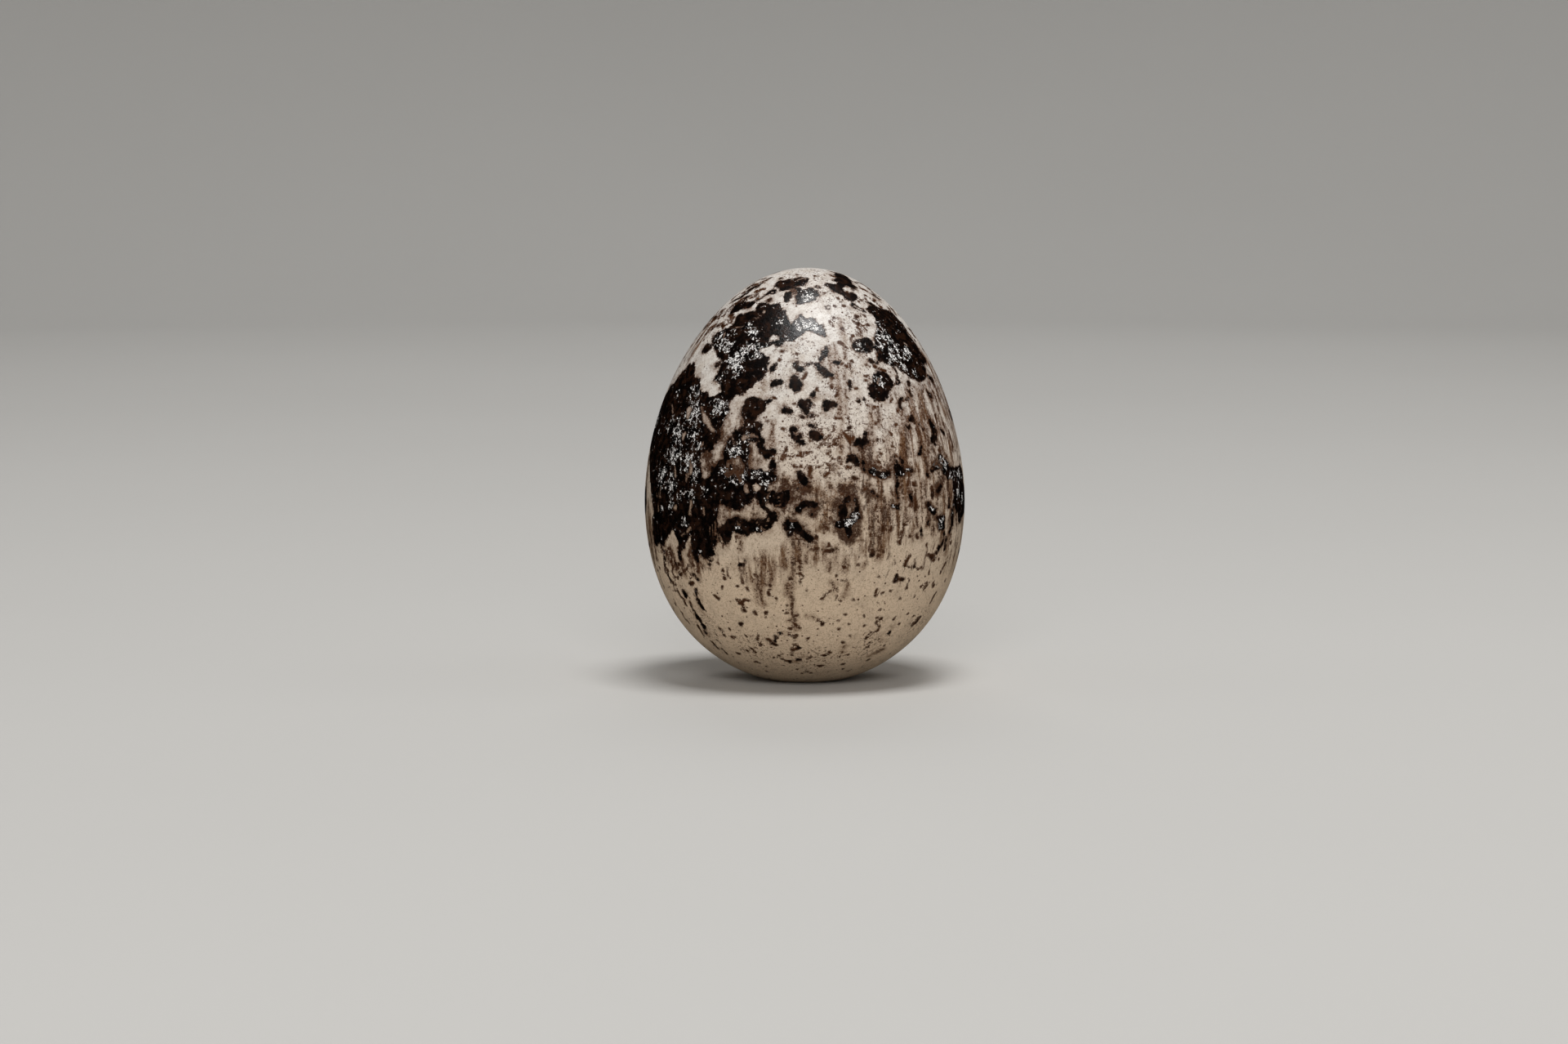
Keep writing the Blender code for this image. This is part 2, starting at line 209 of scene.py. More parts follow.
# Black strokes: a run of dabs, each joined to the next.
BLACK_STROKES = (
    # Round the tip.
    ((-71.8, 30.7, .16), (-66.3, 30.95, .24), (-64.7, 31.3, .26), (-63.1, 31.6, .3),
     (-61.1, 31.95, .24), (-59.3, 32.15, .14)),
    ((-56.1, 31.0, .2), (-55.2, 31.25, .24)), ((-48.3, 31.7, .12), (-46.6, 31.8, .12)),
    ((-52.6, 31.55, .12), (-50.9, 31.55, .12)), ((-74.1, 29.95, .14), (-72.5, 30.05, .12)),
    ((-78, 29.2, .1), (-74, 29.0, .1)), ((-70, 28.6, .08), (-66, 28.9, .1)),
    ((46.9, 30.8, .12), (52.5, 30.6, .22), (53, 30.4, .14)),
    ((69.2, 31.4, .16), (70.5, 31.05, .2), (76.1, 30.8, .14)), ((79, 30.0, .14), (76.5, 29.6, .1)),
    ((78, 32.2, .12), (84, 31.7, .14)), ((62, 31.8, .1), (66, 31.6, .1)),
    ((34.7, 30.5, .24), (39.7, 30.15, .24)), ((14.4, 30.45, .25),), ((9.9, 32.0, .2),),
    ((-60, 27.15, .4), (-57, 27.05, .4)), ((-45, 25.9, .28),),
    # Spots under the crown.
    ((-14.4, 26.1, .2), (-15.1, 25.75, .2)),
    ((-5, 26.05, .25), (-2.5, 25.85, .3)), ((-4.2, 26.3, .15),),
    ((0, 26.15, .1), (2.5, 26.3, .12), (5, 26.1, .15), (7.3, 25.8, .3), (9.3, 25.5, .35),
     (11.5, 25.35, .22), (12.7, 25.45, .1)),
    ((10.5, 27.4, .12), (9.3, 26.95, .2), (7, 26.6, .2)),
    ((-1.1, 25.2, .12), (.3, 25.5, .1)),
    ((-13.3, 24.6, .33), (-10.6, 24.9, .25)),
    ((-4.6, 25.15, .3), (-4, 24.65, .52), (-3.5, 24.35, .35)),
    ((3.5, 23.87, .28),), ((4.8, 24.2, .12),),
    ((-1.3, 23.1, .35), (.6, 23.15, .52), (.2, 22.6, .32)),
    ((-7.9, 22.6, .3), (-5.3, 22.45, .2)),
    ((8, 23.1, .22), (9.3, 23.15, .35), (12, 23.15, .25)), ((8.7, 22.8, .25),),
    ((19.2, 24.8, .18), (19.3, 24.4, .26)),
    ((22, 23.35, .22),), ((25, 23.35, .2),),
    ((-14.5, 23.25, .25),), ((1.6, 21.6, .14), (3.6, 21.45, .22)),
    ((-4.3, 21.1, .33), (-2.6, 20.7, .38)), ((-2.5, 20.2, .22), (-.5, 20.1, .28)),
    ((3.2, 20.8, .4), (5, 20.7, .4), (7.8, 20.6, .1)),
    ((15, 20.9, .1), (17, 20.15, .12)), ((13.5, 26.35, .12), (15, 26.3, .22)),
    ((31.3, 26.3, .25), (34.5, 26.2, .12)), ((35.3, 25.6, .12), (37.5, 25.55, .12)),
    ((44, 25.7, .1), (43.5, 25.15, .1), (43, 24.6, .3)),
    ((50, 24.45, .28),), ((47.2, 24, .12), (48.5, 23.7, .25), (49, 23.4, .15)),
    ((46.5, 23.2, .1), (44, 23.35, .1), (41, 23.1, .17), (41, 22.8, .22), (42, 22.5, .1)),
    ((61.5, 23.8, .15), (62.5, 23.4, .3), (64, 23.1, .15)), ((67, 23.6, .12), (67.5, 23.1, .1)),
    ((68, 24.9, .15), (71, 24.4, .35)), ((66, 22.5, .1), (66.5, 22.1, .1)),
    # The right side.
    ((44.5, 21.6, .2), (46.3, 21.85, .2), (47.3, 21.5, .2), (48.8, 21.3, .12), (50.3, 21.0, .1),
     (51.2, 20.7, .14)),
    ((41.5, 21.2, .13), (42.3, 21.0, .1), (43.8, 20.95, .2)),
    ((47.2, 21, .08), (47.6, 20.2, .08)), ((48.5, 20.9, .08), (48.7, 20, .1)),
    ((48.3, 19.6, .12), (47.1, 18.95, .22)),
    ((57.2, 21.5, .15), (57.5, 21, .35), (58, 20.5, .42), (57.5, 20.1, .35), (55.5, 19.8, .25)),
    ((57, 19.9, .25), (57.3, 19.4, .1)), ((61.7, 20.85, .12), (65.5, 20.3, .2)),
    ((62, 21.7, .15), (62, 21.3, .08)), ((67, 21.4, .12), (67, 21.1, .12)),
    ((61.5, 19.3, .12), (61.7, 19.0, .1)), ((59.3, 19.0, .12),), ((71.5, 20.4, .1), (72, 19.2, .12)),
    ((19, 20.1, .25), (21.5, 20.15, .45), (23.5, 20.2, .33)), ((23.2, 20.5, .2), (24, 20.85, .15)),
    ((21.3, 19.8, .3),), ((18.2, 20.8, .08), (18, 20.35, .1)), ((27.8, 20.25, .15),),
    ((15.3, 18.6, .12), (17.2, 18.9, .33), (18.6, 18.5, .25)),
    ((23.5, 17.9, .2), (25.5, 17.8, .28), (27, 17.7, .28), (29, 17.5, .38), (31, 17.6, .3)),
    ((21, 18.6, .2), (20.8, 18.0, .2)), ((27.2, 18.6, .12),), ((37.4, 18.55, .27),),
    ((34, 17.9, .2), (36.5, 17.8, .35), (39, 17.9, .18), (41, 17.75, .22)),
    ((39.8, 17.7, .12), (39.8, 17.35, .1)),
    ((34.5, 18.7, .12), (35, 17.6, .18), (34.8, 16.9, .25), (34.3, 16.2, .15), (34.3, 15.5, .08)),
    ((31.8, 16.5, .08), (31.8, 15.9, .1)), ((32.3, 15.25, .14), (33.6, 14.95, .26), (35, 15.2, .14)),
    ((17.5, 17.3, .15),), ((13.2, 15.5, .2), (15.5, 15.7, .3)),
    ((24, 16.3, .15), (26.2, 15.8, .22)), ((26.2, 15.3, .1), (26, 15.0, .12)),
    ((13, 15.1, .3), (13.2, 14.4, .4)), ((18, 15.7, .15), (18.2, 14.8, .22), (16.8, 14.3, .35)),
    ((18, 14.2, .3), (15.2, 13.85, .35), (12.3, 13.75, .3), (10.6, 13.6, .2)),
    ((15.2, 13.6, .33), (15.3, 13.1, .27), (15, 12.75, .2)),
    ((40.3, 15.75, .2), (40.4, 15.45, .25)), ((42.3, 15.6, .1), (42.3, 14.7, .14)),
    ((49.3, 13.8, .14), (48.8, 13.45, .22)), ((51.7, 16.3, .12), (51.4, 15.6, .18)),
    ((57, 16.3, .2), (55.5, 15.9, .2), (54, 15.75, .12)),
    ((65, 14.2, .25), (66, 13.2, .3), (64, 12.4, .16)),
    ((67.5, 16.4, .3), (67.5, 15.3, .32), (66.8, 14.4, .2)), ((63, 15.6, .12), (62.5, 14.6, .2)),
    ((45.5, 13.2, .14), (45.8, 12.6, .2)), ((62, 12, .14), (61.5, 11.2, .22)),
    ((59, 12.8, .22),), ((59.8, 12.25, .25),), ((59.3, 11.75, .16), (58.7, 11.6, .2)),
    ((57.2, 11.3, .22),), ((55.8, 10.95, .16),),
    ((37.5, 13.5, .14), (38.7, 13.45, .06)), ((28, 13.5, .14), (28, 13.25, .14)),
    ((49.5, 17.6, .14), (50.2, 17.3, .22)), ((41.8, 16.85, .1), (42, 16.6, .14)),
    ((39.6, 17, .07), (39.5, 16.65, .09)), ((36, 12.3, .12), (35.8, 12.05, .12)),
    # The middle of the belt.
    ((-16.8, 20.4, .25), (-16, 19.7, .3), (-14, 19.35, .4), (-11.5, 19.4, .35)),
    ((-11.2, 19.2, .12), (-11, 17.4, .16)),
    ((-10.8, 15.7, .3), (-8.5, 15.7, .4), (-6.2, 15.9, .3)), ((-11, 14.5, .35), (-9.5, 14.2, .2)),
    ((-1.3, 17.6, .33), (-.3, 17.2, .33)), ((1.0, 17.75, .1), (1.9, 18.2, .12)),
    ((-2, 16.6, .2),), ((1.2, 16.85, .15),),
    ((-1.7, 15.1, .28), (.3, 15.45, .38), (2.5, 15.4, .28), (4.3, 15.35, .15)),
    ((2.3, 14.7, .2),), ((-6, 13.9, .3), (-4.8, 13.6, .33), (-2.4, 13.45, .45), (-1, 13.2, .36)),
    ((-.5, 12.95, .33), (1.7, 12.6, .27)), ((-5, 13.05, .22),), ((3.9, 12.75, .15),),
    ((-33, 16, .3), (-28, 15.6, .5), (-23, 15.55, .5), (-20.5, 15.9, .3)),
    # Drips and rings under the belt.
    ((-44, 11.3, .3), (-42.5, 10.45, .22)), ((-36, 10.6, .22), (-36.3, 10.35, .18)),
    ((-23.5, 10.45, .2), (-22.2, 10.55, .1), (-22.1, 10.85, .06)),
    ((-45.5, 9.3, .17), (-44.2, 9.0, .22)),
    ((-47, 8.1, .15), (-46.7, 7.4, .15), (-46, 7.0, .2), (-45.3, 6.6, .17), (-44.5, 6.35, .08)),
    ((-59, 7.8, .1), (-58.3, 7.3, .12)), ((-54.5, 7.85, .28), (-54, 7.5, .25)),
    ((-53.5, 6.6, .12), (-52.5, 6.2, .1), (-52.5, 5.6, .26), (-51.5, 5.1, .22), (-53, 4.5, .1)),
    ((-56, 4.9, .12), (-56.5, 4.1, .1)), ((-54, 3.6, .1), (-53, 3.1, .12)),
    ((-37, 7.85, .08), (-35.7, 7.6, .12)),
    ((-11.3, 4.85, .22),), ((-13.5, 4.6, .2), (-13.4, 4.2, .13)),
    ((-15.3, 3.97, .17), (-13.5, 3.8, .15)), ((7, 11.75, .11), (9.5, 11.75, .15)),
    ((25, 11.55, .12), (24.8, 11.3, .17)), ((40.7, 11.05, .06), (39.5, 10.55, .12)),
    ((51, 10.8, .12), (52.5, 10.6, .15), (53.7, 10.85, .12)),
    ((36.2, 9.3, .17), (35.8, 9.05, .17)), ((38.2, 9.1, .12), (39.3, 9.1, .17)),
    ((44, 10.6, .08), (44.3, 10.15, .18)), ((54.5, 8.25, .06), (52.7, 8.0, .1)),
    ((64.5, 9.9, .06), (62.5, 9.3, .12)), ((64.5, 7.5, .06), (63, 7.1, .12)),
    ((60.5, 5.55, .15), (59, 5.2, .15), (57, 4.9, .08)), ((41.8, 4.6, .2), (41.2, 4.45, .2)),
    ((-4.6, 3.4, .12), (-3.2, 3.5, .18)), ((-3.4, 2.5, .2), (-2.7, 2.5, .18)),
    ((9.3, 2.9, .1), (10.6, 2.83, .14)), ((8.3, 1.9, .1), (10, 1.85, .13), (12, 1.95, .08)),
)
# Single small black spots.
BLACK_SPOTS = (
    (20.1, 30.5, .13), (26.8, 30.6, .12), (17.2, 29.6, .14), (32.9, 29.7, .15), (29, 29.35, .11),
    (32.2, 29.2, .16), (38.3, 29.05, .14), (38, 29.75, .12), (20.9, 28.85, .14), (30.2, 28.9, .11),
    (9.4, 8.5, .07), (11.9, 8.05, .06), (12.2, 7.7, .05), (15.3, 9.4, .05), (14.4, 7.7, .06),
    (-26.7, 7.55, .08), (-25.6, 7.3, .12), (-23.6, 7.6, .1), (-22, 7.6, .1), (-25.3, 7.15, .12),
    (-24.6, 7.5, .07), (-12.3, 26.45, .1), (-11.5, 27.1, .12), (-4.1, 26.9, .12), (12.8, 23.85, .12),
    (11, 24.45, .12),
    (12, 25.15, .13), (-12.7, 23.55, .13), (-1.3, 22.15, .17), (2.6, 22.3, .18), (5, 22.25, .08),
    (3.7, 23.05, .08), (-4.1, 23.05, .1), (9.2, 20.8, .1), (11, 21.4, .13), (11.6, 20.05, .14),
    (11, 20.4, .1), (6.5, 20.05, .14), (6.5, 21.35, .08), (16.9, 21.95, .12), (17.4, 21.3, .17),
    (-6.5, 19.6, .13), (-7.9, 21.25, .1), (-14.5, 21.75, .1), (5.4, 19.85, .1), (-1.5, 19.35, .1),
    (-1.4, 19.05, .1), (-3.1, 19.1, .1), (-3.9, 18.25, .1), (-1.3, 18.3, .1), (5.1, 18.3, .1),
    (6.8, 17.5, .08), (15, 18.2, .1), (28.8, 22.8, .1), (21.8, 24.3, .1), (21.5, 26.4, .13),
    (27, 24.75, .08), (27.3, 25.2, .08), (28.7, 26, .1), (32.5, 25.85, .13), (38.5, 22.45, .12),
    (36, 23.1, .1), (25.5, 28.2, .1), (23.7, 28, .1), (18, 27.7, .1), (20, 27.45, .1),
    (31.3, 13.2, .12), (43, 12.55, .13), (27.5, 12.6, .12), (29.3, 11.6, .1), (43.3, 12.35, .13),
    (49.2, 11.7, .08), (54.3, 10.4, .1), (57.8, 10.35, .08), (39, 10.2, .12), (41, 10.0, .1),
    (46.5, 9.8, .08), (42.5, 8.95, .08), (42, 8.3, .12), (59.5, 8.2, .1), (53.5, 9.4, .1),
    (19.8, 10.6, .1), (28.3, 8.35, .1), (27.8, 8.0, .1), (31, 8.0, .1), (35, 8.15, .1),
    (40.3, 7.5, .1), (29.5, 7.35, .08), (24.7, 6.15, .12), (16.5, 6.4, .08), (33.3, 5.85, .13),
    (41.3, 5.8, .12), (19.3, 5.6, .08), (26.5, 5.35, .1), (34.5, 5.2, .1), (34.3, 4.9, .1),
    (45.5, 5.2, .1), (21.5, 4.6, .08), (30, 4.35, .13), (33, 3.4, .13), (19.3, 4.05, .13),
    (20, 2.75, .12), (12.5, 3.15, .12), (3, 2.7, .12), (24, 1.95, .13), (41.5, 2.15, .12),
    (28, 1.45, .12), (1.5, 4.45, .12), (8, 5.7, .15), (5.7, 6.12, .1), (6.8, 7.75, .07),
    (7.8, 8.05, .05), (-7, 6.55, .08), (-7, 5.25, .1), (-7.3, 4.65, .1), (-4, 4.65, .12),
    (-5, 4.45, .12), (-5, 3.9, .08), (-6.5, 3.4, .1), (-8.7, 2.3, .16), (-6, 3.3, .08),
    (-13.5, 2.85, .1), (-16.8, 4.25, .12), (-15.7, 6.6, .13), (-11, 7.8, .08), (-13, 8.75, .13),
    (-13.5, 8.2, .12), (-20.3, 6.65, .13), (-24.5, 6.72, .15), (-28, 5.55, .17), (-22, 3.8, .13),
    (-22.8, 4.35, .12), (-21.3, 4.6, .1), (-40.5, 4.85, .12), (-40, 4.35, .12), (-35.5, 4.25, .1),
    (-27.5, 4.55, .08), (-38, 2.75, .13), (-31.5, 3.1, .1), (-28, 3.35, .1), (-26.8, 2.95, .08),
    (-49.5, 2.65, .12), (-25.7, 8.7, .12), (-22, 8.5, .1), (-31.5, 9.85, .12), (-31, 9.2, .12),
    (-32.5, 8.4, .12), (-58, 10.2, .12), (-58.5, 9.9, .1), (-56.5, 9.95, .08), (-64.5, 10.65, .12),
    (-60.5, 10.8, .12), (-57.5, 10.75, .12), (-58, 11.2, .1), (-47, 10.85, .1), (-71.3, 9.4, .1),
    (-57, 7.2, .12), (-57.5, 6.65, .13), (-53, 6.9, .1), (-24, 12.8, .1), (-4, 5.5, .1),
    (-5, 9.45, .13), (-1.8, 10.9, .12), (-1.6, 10.3, .1), (-1.1, 9.75, .1), (4, 11.85, .12),
    (14.5, 10.4, .1), (-68, 6.5, .1), (-64, 5.2, .1), (66, 11.5, .12), (70, 8.5, .1),
)

# Bare strokes: gaps and pinholes in the black; the pale dots set inside spots are painted glints.
BARE_GAPS_AND_GLINTS = (
    ((-46, 22.6, .1), (-42.5, 21.8, .22), (-37.5, 21.0, .2)), ((-52.3, 22.3, .3), (-52, 21.9, .22)),
    ((-69, 22.6, .08), (-64.5, 22.1, .1)), ((-44, 15.2, .15), (-44, 14.3, .2)),
    ((-37.7, 14.7, .1), (-37.7, 14.35, .12)), ((-66, 15.6, .08), (-64.3, 14.1, .1)),
    ((-63, 16, .08), (-62.6, 15.2, .1)), ((-52.5, 14.65, .2),), ((-53.8, 17.8, .1), (-53, 17.1, .12)),
    ((-45.5, 18.35, .1), (-44.8, 17.5, .18)), ((-46.8, 17.3, .12), (-46.5, 16.85, .12)),
    ((-38.7, 19.0, .12), (-38.3, 18.3, .17)), ((-52, 20.4, .2), (-51.8, 20.1, .15)),
    ((-41, 20.0, .08), (-41.8, 19.7, .1)), ((-28.7, 18.5, .17), (-28.5, 18.2, .13)),
    ((-26.5, 18.7, .2),), ((-23.7, 18.3, .15), (-23.5, 17.9, .17)), ((-29, 17.5, .2), (-27, 17.8, .2)),
    ((-25, 17.55, .14), (-23.5, 17.15, .14)), ((-20.8, 16.8, .15), (-20.6, 16.3, .2)),
    ((-22.5, 20.6, .27),), ((-19.7, 20.65, .14), (-18.2, 20.6, .12)),
    ((-33, 13.8, .1), (-33, 12.8, .12)),
    ((-31.2, 12.7, .07), (-30.5, 12.25, .15)), ((-45.3, 12.85, .16), (-44.2, 13.1, .14)),
    ((-47.8, 12.55, .08),), ((-48.7, 12.35, .07),), ((-35.3, 13.3, .06), (-35.5, 12.7, .06)),
    ((-23.8, 13.85, .07), (-23, 13.75, .07)), ((-17, 13.9, .08),),
    ((-15, 13.65, .08), (-14.8, 13.45, .08)),
    ((-13.6, 13.5, .08),), ((-12.5, 14.25, .13),), ((-12.9, 15.85, .1),), ((-12.4, 16.25, .1),),
    ((-9.4, 16.0, .08),), ((-8.3, 15.4, .1),), ((-9.8, 15.3, .07),),
    ((58.5, 20.35, .1),), ((55.3, 18.1, .1), (57.5, 18.45, .08)), ((56.7, 17.98, .08), (59, 17.75, .1)),
    ((58.4, 18.15, .09),), ((53.1, 17.8, .1),), ((60.5, 18.25, .1),), ((43, 24.6, .13),),
    ((.9, 22.95, .09),), ((1.4, 23.15, .07),),
    ((-2.8, 20.95, .12),), ((-3.6, 20.95, .07),), ((33.5, 24.9, .12),), ((32.7, 24.6, .1),),
    ((-12, 32.4, .06), (-6, 32.65, .06)), ((-2, 32.62, .06),), ((-2, 32.22, .1),),
    ((-19, 32.5, .08),), ((-33, 31.53, .1), (-31, 31.5, .08)),
    ((35.2, 30.47, .13), (39.0, 30.17, .12)), ((14.4, 30.45, .17),), ((9.9, 32.0, .1),),
    ((-35, 29.6, .1), (-32, 29.6, .16)), ((-28.5, 30.1, .16),), ((-17, 29.6, .08),),
    ((-46, 28.75, .07), (-40, 29.0, .08)), ((60, 27.5, .12), (62, 27.2, .08)),
    ((-49, 28.0, .1), (-50, 28.4, .08)),
)

# Brown strokes: runs down from the belt, and soft smudges.
BROWN_STROKES = (
    ((-4, 12.6, .2), (-4, 11.4, .17), (-4.1, 10, .14), (-4.8, 8.5, .12), (-5, 7.1, .14),
     (-4.3, 6.3, .14), (-4, 5.2, .1)),
    ((-3.9, 11.2, .2), (-4.1, 10.7, .24), (-4.1, 10.2, .16)),
    ((-6.3, 9.0, .12), (-6.5, 8.2, .1)), ((-6.3, 5.9, .14), (-4.6, 5.95, .08)),
    ((-1.7, 12.5, .15), (-1.7, 11.6, .1), (-1.8, 10.9, .14), (-1.6, 10.2, .12)),
    ((.3, 11.6, .1), (.3, 11.0, .17)), ((1.8, 11.85, .12), (4, 11.85, .12)),
    ((-22.8, 12.9, .1), (-22.6, 12.2, .13), (-23.3, 11.6, .1)),
    ((-18.5, 8.8, .08), (-18.5, 7.3, .1)), ((-17.2, 9.0, .12), (-17, 8.2, .12), (-16.8, 7.3, .1)),
    ((-18.6, 9.2, .14), (-17.2, 9.1, .12), (-16.5, 9.6, .1)), ((-14.8, 9.7, .1), (-14.9, 8.9, .1)),
    ((-18, 10.9, .08), (-16.5, 10.6, .1), (-15, 10.9, .07)),
    ((-12.3, 21.7, .11), (-12.1, 21.0, .15), (-11.7, 19.9, .14)),
    ((-13.3, 20.4, .08), (-13.4, 20.0, .1)),
    ((-17.4, 24.9, .1), (-17.6, 24.0, .07)), ((11.6, 27.3, .08), (11.3, 24.6, .09)),
    ((17.9, 25.7, .05), (17, 24.2, .08), (16.3, 22.4, .06)), ((20.8, 29.6, .06), (18.7, 26.5, .08)),
    ((14.6, 27.6, .06), (13.9, 23.2, .1), (13.5, 19.3, .1)),
    ((24.7, 20.8, .1), (24.6, 19.9, .1)), ((24.6, 15.2, .13), (24.6, 13.8, .13), (24.7, 12.5, .15)),
    ((27.5, 15.6, .14), (28, 15.0, .14), (28.7, 14.4, .2)), ((26.9, 12.1, .1), (26.9, 11.0, .12)),
    ((21, 19.6, .25), (21, 18.8, .3), (20.8, 17.9, .22)), ((24.3, 19.5, .3), (24.5, 18.6, .25)),
    ((33.3, 19.4, .14), (33.6, 18.6, .2)), ((35.7, 16.3, .25), (35.6, 15.9, .2)),
    ((41.2, 20.2, .1), (41.6, 19.3, .17), (41.6, 18.9, .1)), ((49.3, 18.7, .2), (50, 17.5, .25)),
    ((40.3, 16, .3), (40.8, 15.1, .27)), ((42.6, 14.5, .12), (43, 13.2, .1)),
    ((10.7, 11.9, .13), (10.6, 10.6, .12)), ((8.8, 11.0, .08), (8.8, 10.1, .1)),
    ((14.6, 11.2, .12), (14.5, 10.2, .12)), ((21.5, 10.3, .13), (22.2, 10.5, .1)),
    ((9.8, 9.2, .1), (11.1, 8.95, .17), (10.6, 8.45, .1)), ((15.6, 9.1, .07), (15.9, 8.7, .1)),
    ((16, 8.4, .08), (15.2, 8.05, .1)), ((20, 3.6, .16),), ((19.5, 3.15, .13),),
    ((40, 2.6, .08), (44, 2.95, .15), (46, 3.1, .12)),
    ((.6, 6.35, .08), (3, 6.3, .1)), ((-44.5, 11.6, .3), (-43, 10.6, .3), (-42, 10.0, .14)),
    ((-50.5, 11.4, .25), (-50.8, 10.4, .2)), ((-8.2, 18.9, .16),), ((-7.5, 17.3, .3), (-6.5, 16.9, .3)),
    ((10.3, 18.3, .22), (10.5, 17.8, .12)), ((8.8, 16.9, .22), (8.7, 16.6, .16)),
    ((13, 16.6, .4), (15.5, 16.7, .3)), ((33.8, 19.1, .14), (33.4, 18.1, .22)),
    ((34.7, 17.5, .24), (34.5, 16.7, .22)), ((32.5, 16.4, .1), (32.5, 15.4, .13)),
    ((50.4, 18.4, .2), (50, 17.4, .3)), ((42.7, 15.3, .12), (42.9, 13.2, .18)),
    ((24.5, 15.3, .16), (24.6, 13.3, .24)), ((28.8, 15.6, .2), (29.3, 14.2, .26)),
    ((60, 17.0, .3), (58, 16.2, .25)), ((63, 16.8, .3), (62, 15.6, .2)),
    ((67, 14.5, .3), (66, 12.8, .2)),
    ((27.5, 22.7, .1), (26.3, 21.2, .1), (25.5, 19.9, .16)), ((30, 22.5, .12), (29, 21.4, .16)),
    ((39.3, 22.9, .12), (40.9, 23.15, .16), (44.3, 23.15, .12)), ((41.3, 22.3, .14), (40.2, 21.4, .2)),
    ((41.2, 21, .2), (40.2, 19.4, .16)), ((42, 20.3, .1), (41, 19.4, .16)),
    ((48.8, 21.3, .12), (48.6, 20.1, .2), (47, 19, .26)), ((54, 21, .14), (53, 19.6, .22)),
    ((62.4, 23.4, .22), (62, 22.2, .14)), ((67.8, 23.5, .2), (68, 22.2, .14)),
    ((72, 24.2, .2), (71, 22.8, .14)),
    ((57, 24.2, .14), (56.4, 22.9, .2)), ((53.4, 23.6, .1), (53, 22.5, .16)),
    ((50, 20, .12), (49.3, 18.6, .2)),
    ((37, 17.4, .2), (37.2, 16.6, .14)), ((45.5, 16.8, .12), (45.2, 15.5, .2)),
    ((60, 19.4, .2), (60, 18.8, .24)),
    ((52.5, 13.9, .14), (52, 12.6, .2)), ((38.4, 14.8, .1), (38.5, 13.8, .18)),
    ((31, 15.4, .1), (31, 14.2, .16)),
    ((22.3, 16.9, .2), (22.3, 16.2, .25)), ((17.3, 16.7, .3), (17.8, 15.6, .3)),
    ((56.8, 17.3, .25), (58, 16.4, .3)), ((54.5, 19.3, .3), (55.5, 18.9, .2)),
    ((57.5, 22.2, .12), (57.3, 21.6, .16)), ((52.5, 21.9, .1), (54, 21.5, .1)),
    ((47.8, 23.0, .12), (49.2, 22.0, .14)), ((-14.7, 32.0, .3), (-12, 31.5, .3)),
    ((-82, 18.0, .16), (-80, 14.6, .24)), ((-76, 14.6, .14), (-75, 11.4, .24)),
    ((-72, 12.4, .14), (-71.4, 10.2, .2)),
    ((42, 21.3, .12), (40, 19, .24)), ((48, 21, .12), (47, 19.1, .26)),
    ((27, 22.8, .1), (25, 19.7, .14)), ((30, 22.8, .08), (29, 21.4, .12)),
    ((28.5, 15.6, .14), (28.5, 13.4, .24)), ((24.5, 15.3, .14), (25, 11.8, .2)),
    ((42.5, 16.9, .16), (42.5, 14.7, .24)), ((39.5, 16.4, .14), (40, 15.1, .22)),
    ((50, 18.5, .22), (50.5, 17.2, .3)), ((47, 16.9, .1), (48, 15.6, .16)),
    ((51, 16.2, .1), (51.5, 15.5, .2)), ((59, 15.9, .12), (59.5, 14.6, .18)),
    ((62, 16.6, .14), (62.5, 14.7, .22)), ((49, 14.3, .2), (49.5, 13.3, .3)),
    ((52, 13.8, .1), (52.5, 13.2, .14)), ((63.5, 13.5, .1), (64, 12.7, .16)),
    ((68.5, 14.1, .12), (70.5, 12.9, .2)), ((53.5, 22.2, .1), (57, 21.1, .16)),
    ((61.5, 23.9, .2), (63.5, 23.3, .26)), ((63.5, 21.9, .12), (65, 20.3, .22)),
    ((52.5, 24.2, .08), (54, 23.1, .14)), ((68.5, 20.9, .1), (72, 19.1, .2)),
    ((40.5, 21.9, .12), (40.5, 21, .16)), ((53.5, 22.9, .1), (54, 21.6, .16)),
    ((61.5, 22.8, .1), (63, 21.4, .18)), ((53, 21.1, .1), (53.5, 19.6, .16)),
    ((60, 20.6, .12), (59.5, 19.3, .2)), ((62, 19.1, .1), (66, 17.9, .18)),
    ((23, 19.3, .2), (24, 18.3, .3)), ((21.5, 19.6, .2), (21.5, 18, .28)),
    ((37, 17.1, .16), (37, 16.1, .24)), ((39.5, 17.7, .16), (41, 17.5, .2)),
    ((16.5, 16.6, .2), (18.5, 15.5, .3)), ((20.5, 16.4, .22), (25.5, 15.9, .3)),
    ((18, 14.6, .2), (18.5, 13, .3)), ((37, 21.8, .06), (37, 20.9, .1)),
    ((-79, 12.6, .1), (-78, 9.6, .2)), ((-61, 11.6, .2), (-60, 10.0, .16)),
    ((-56.6, 11.4, .2), (-55.4, 9.6, .2)),
    ((-51.6, 10.9, .16), (-50.6, 9.3, .2)), ((-46.4, 10.8, .2), (-46, 9.8, .12)),
    ((-33, 13.6, .2), (-33.4, 12.2, .3)),
)
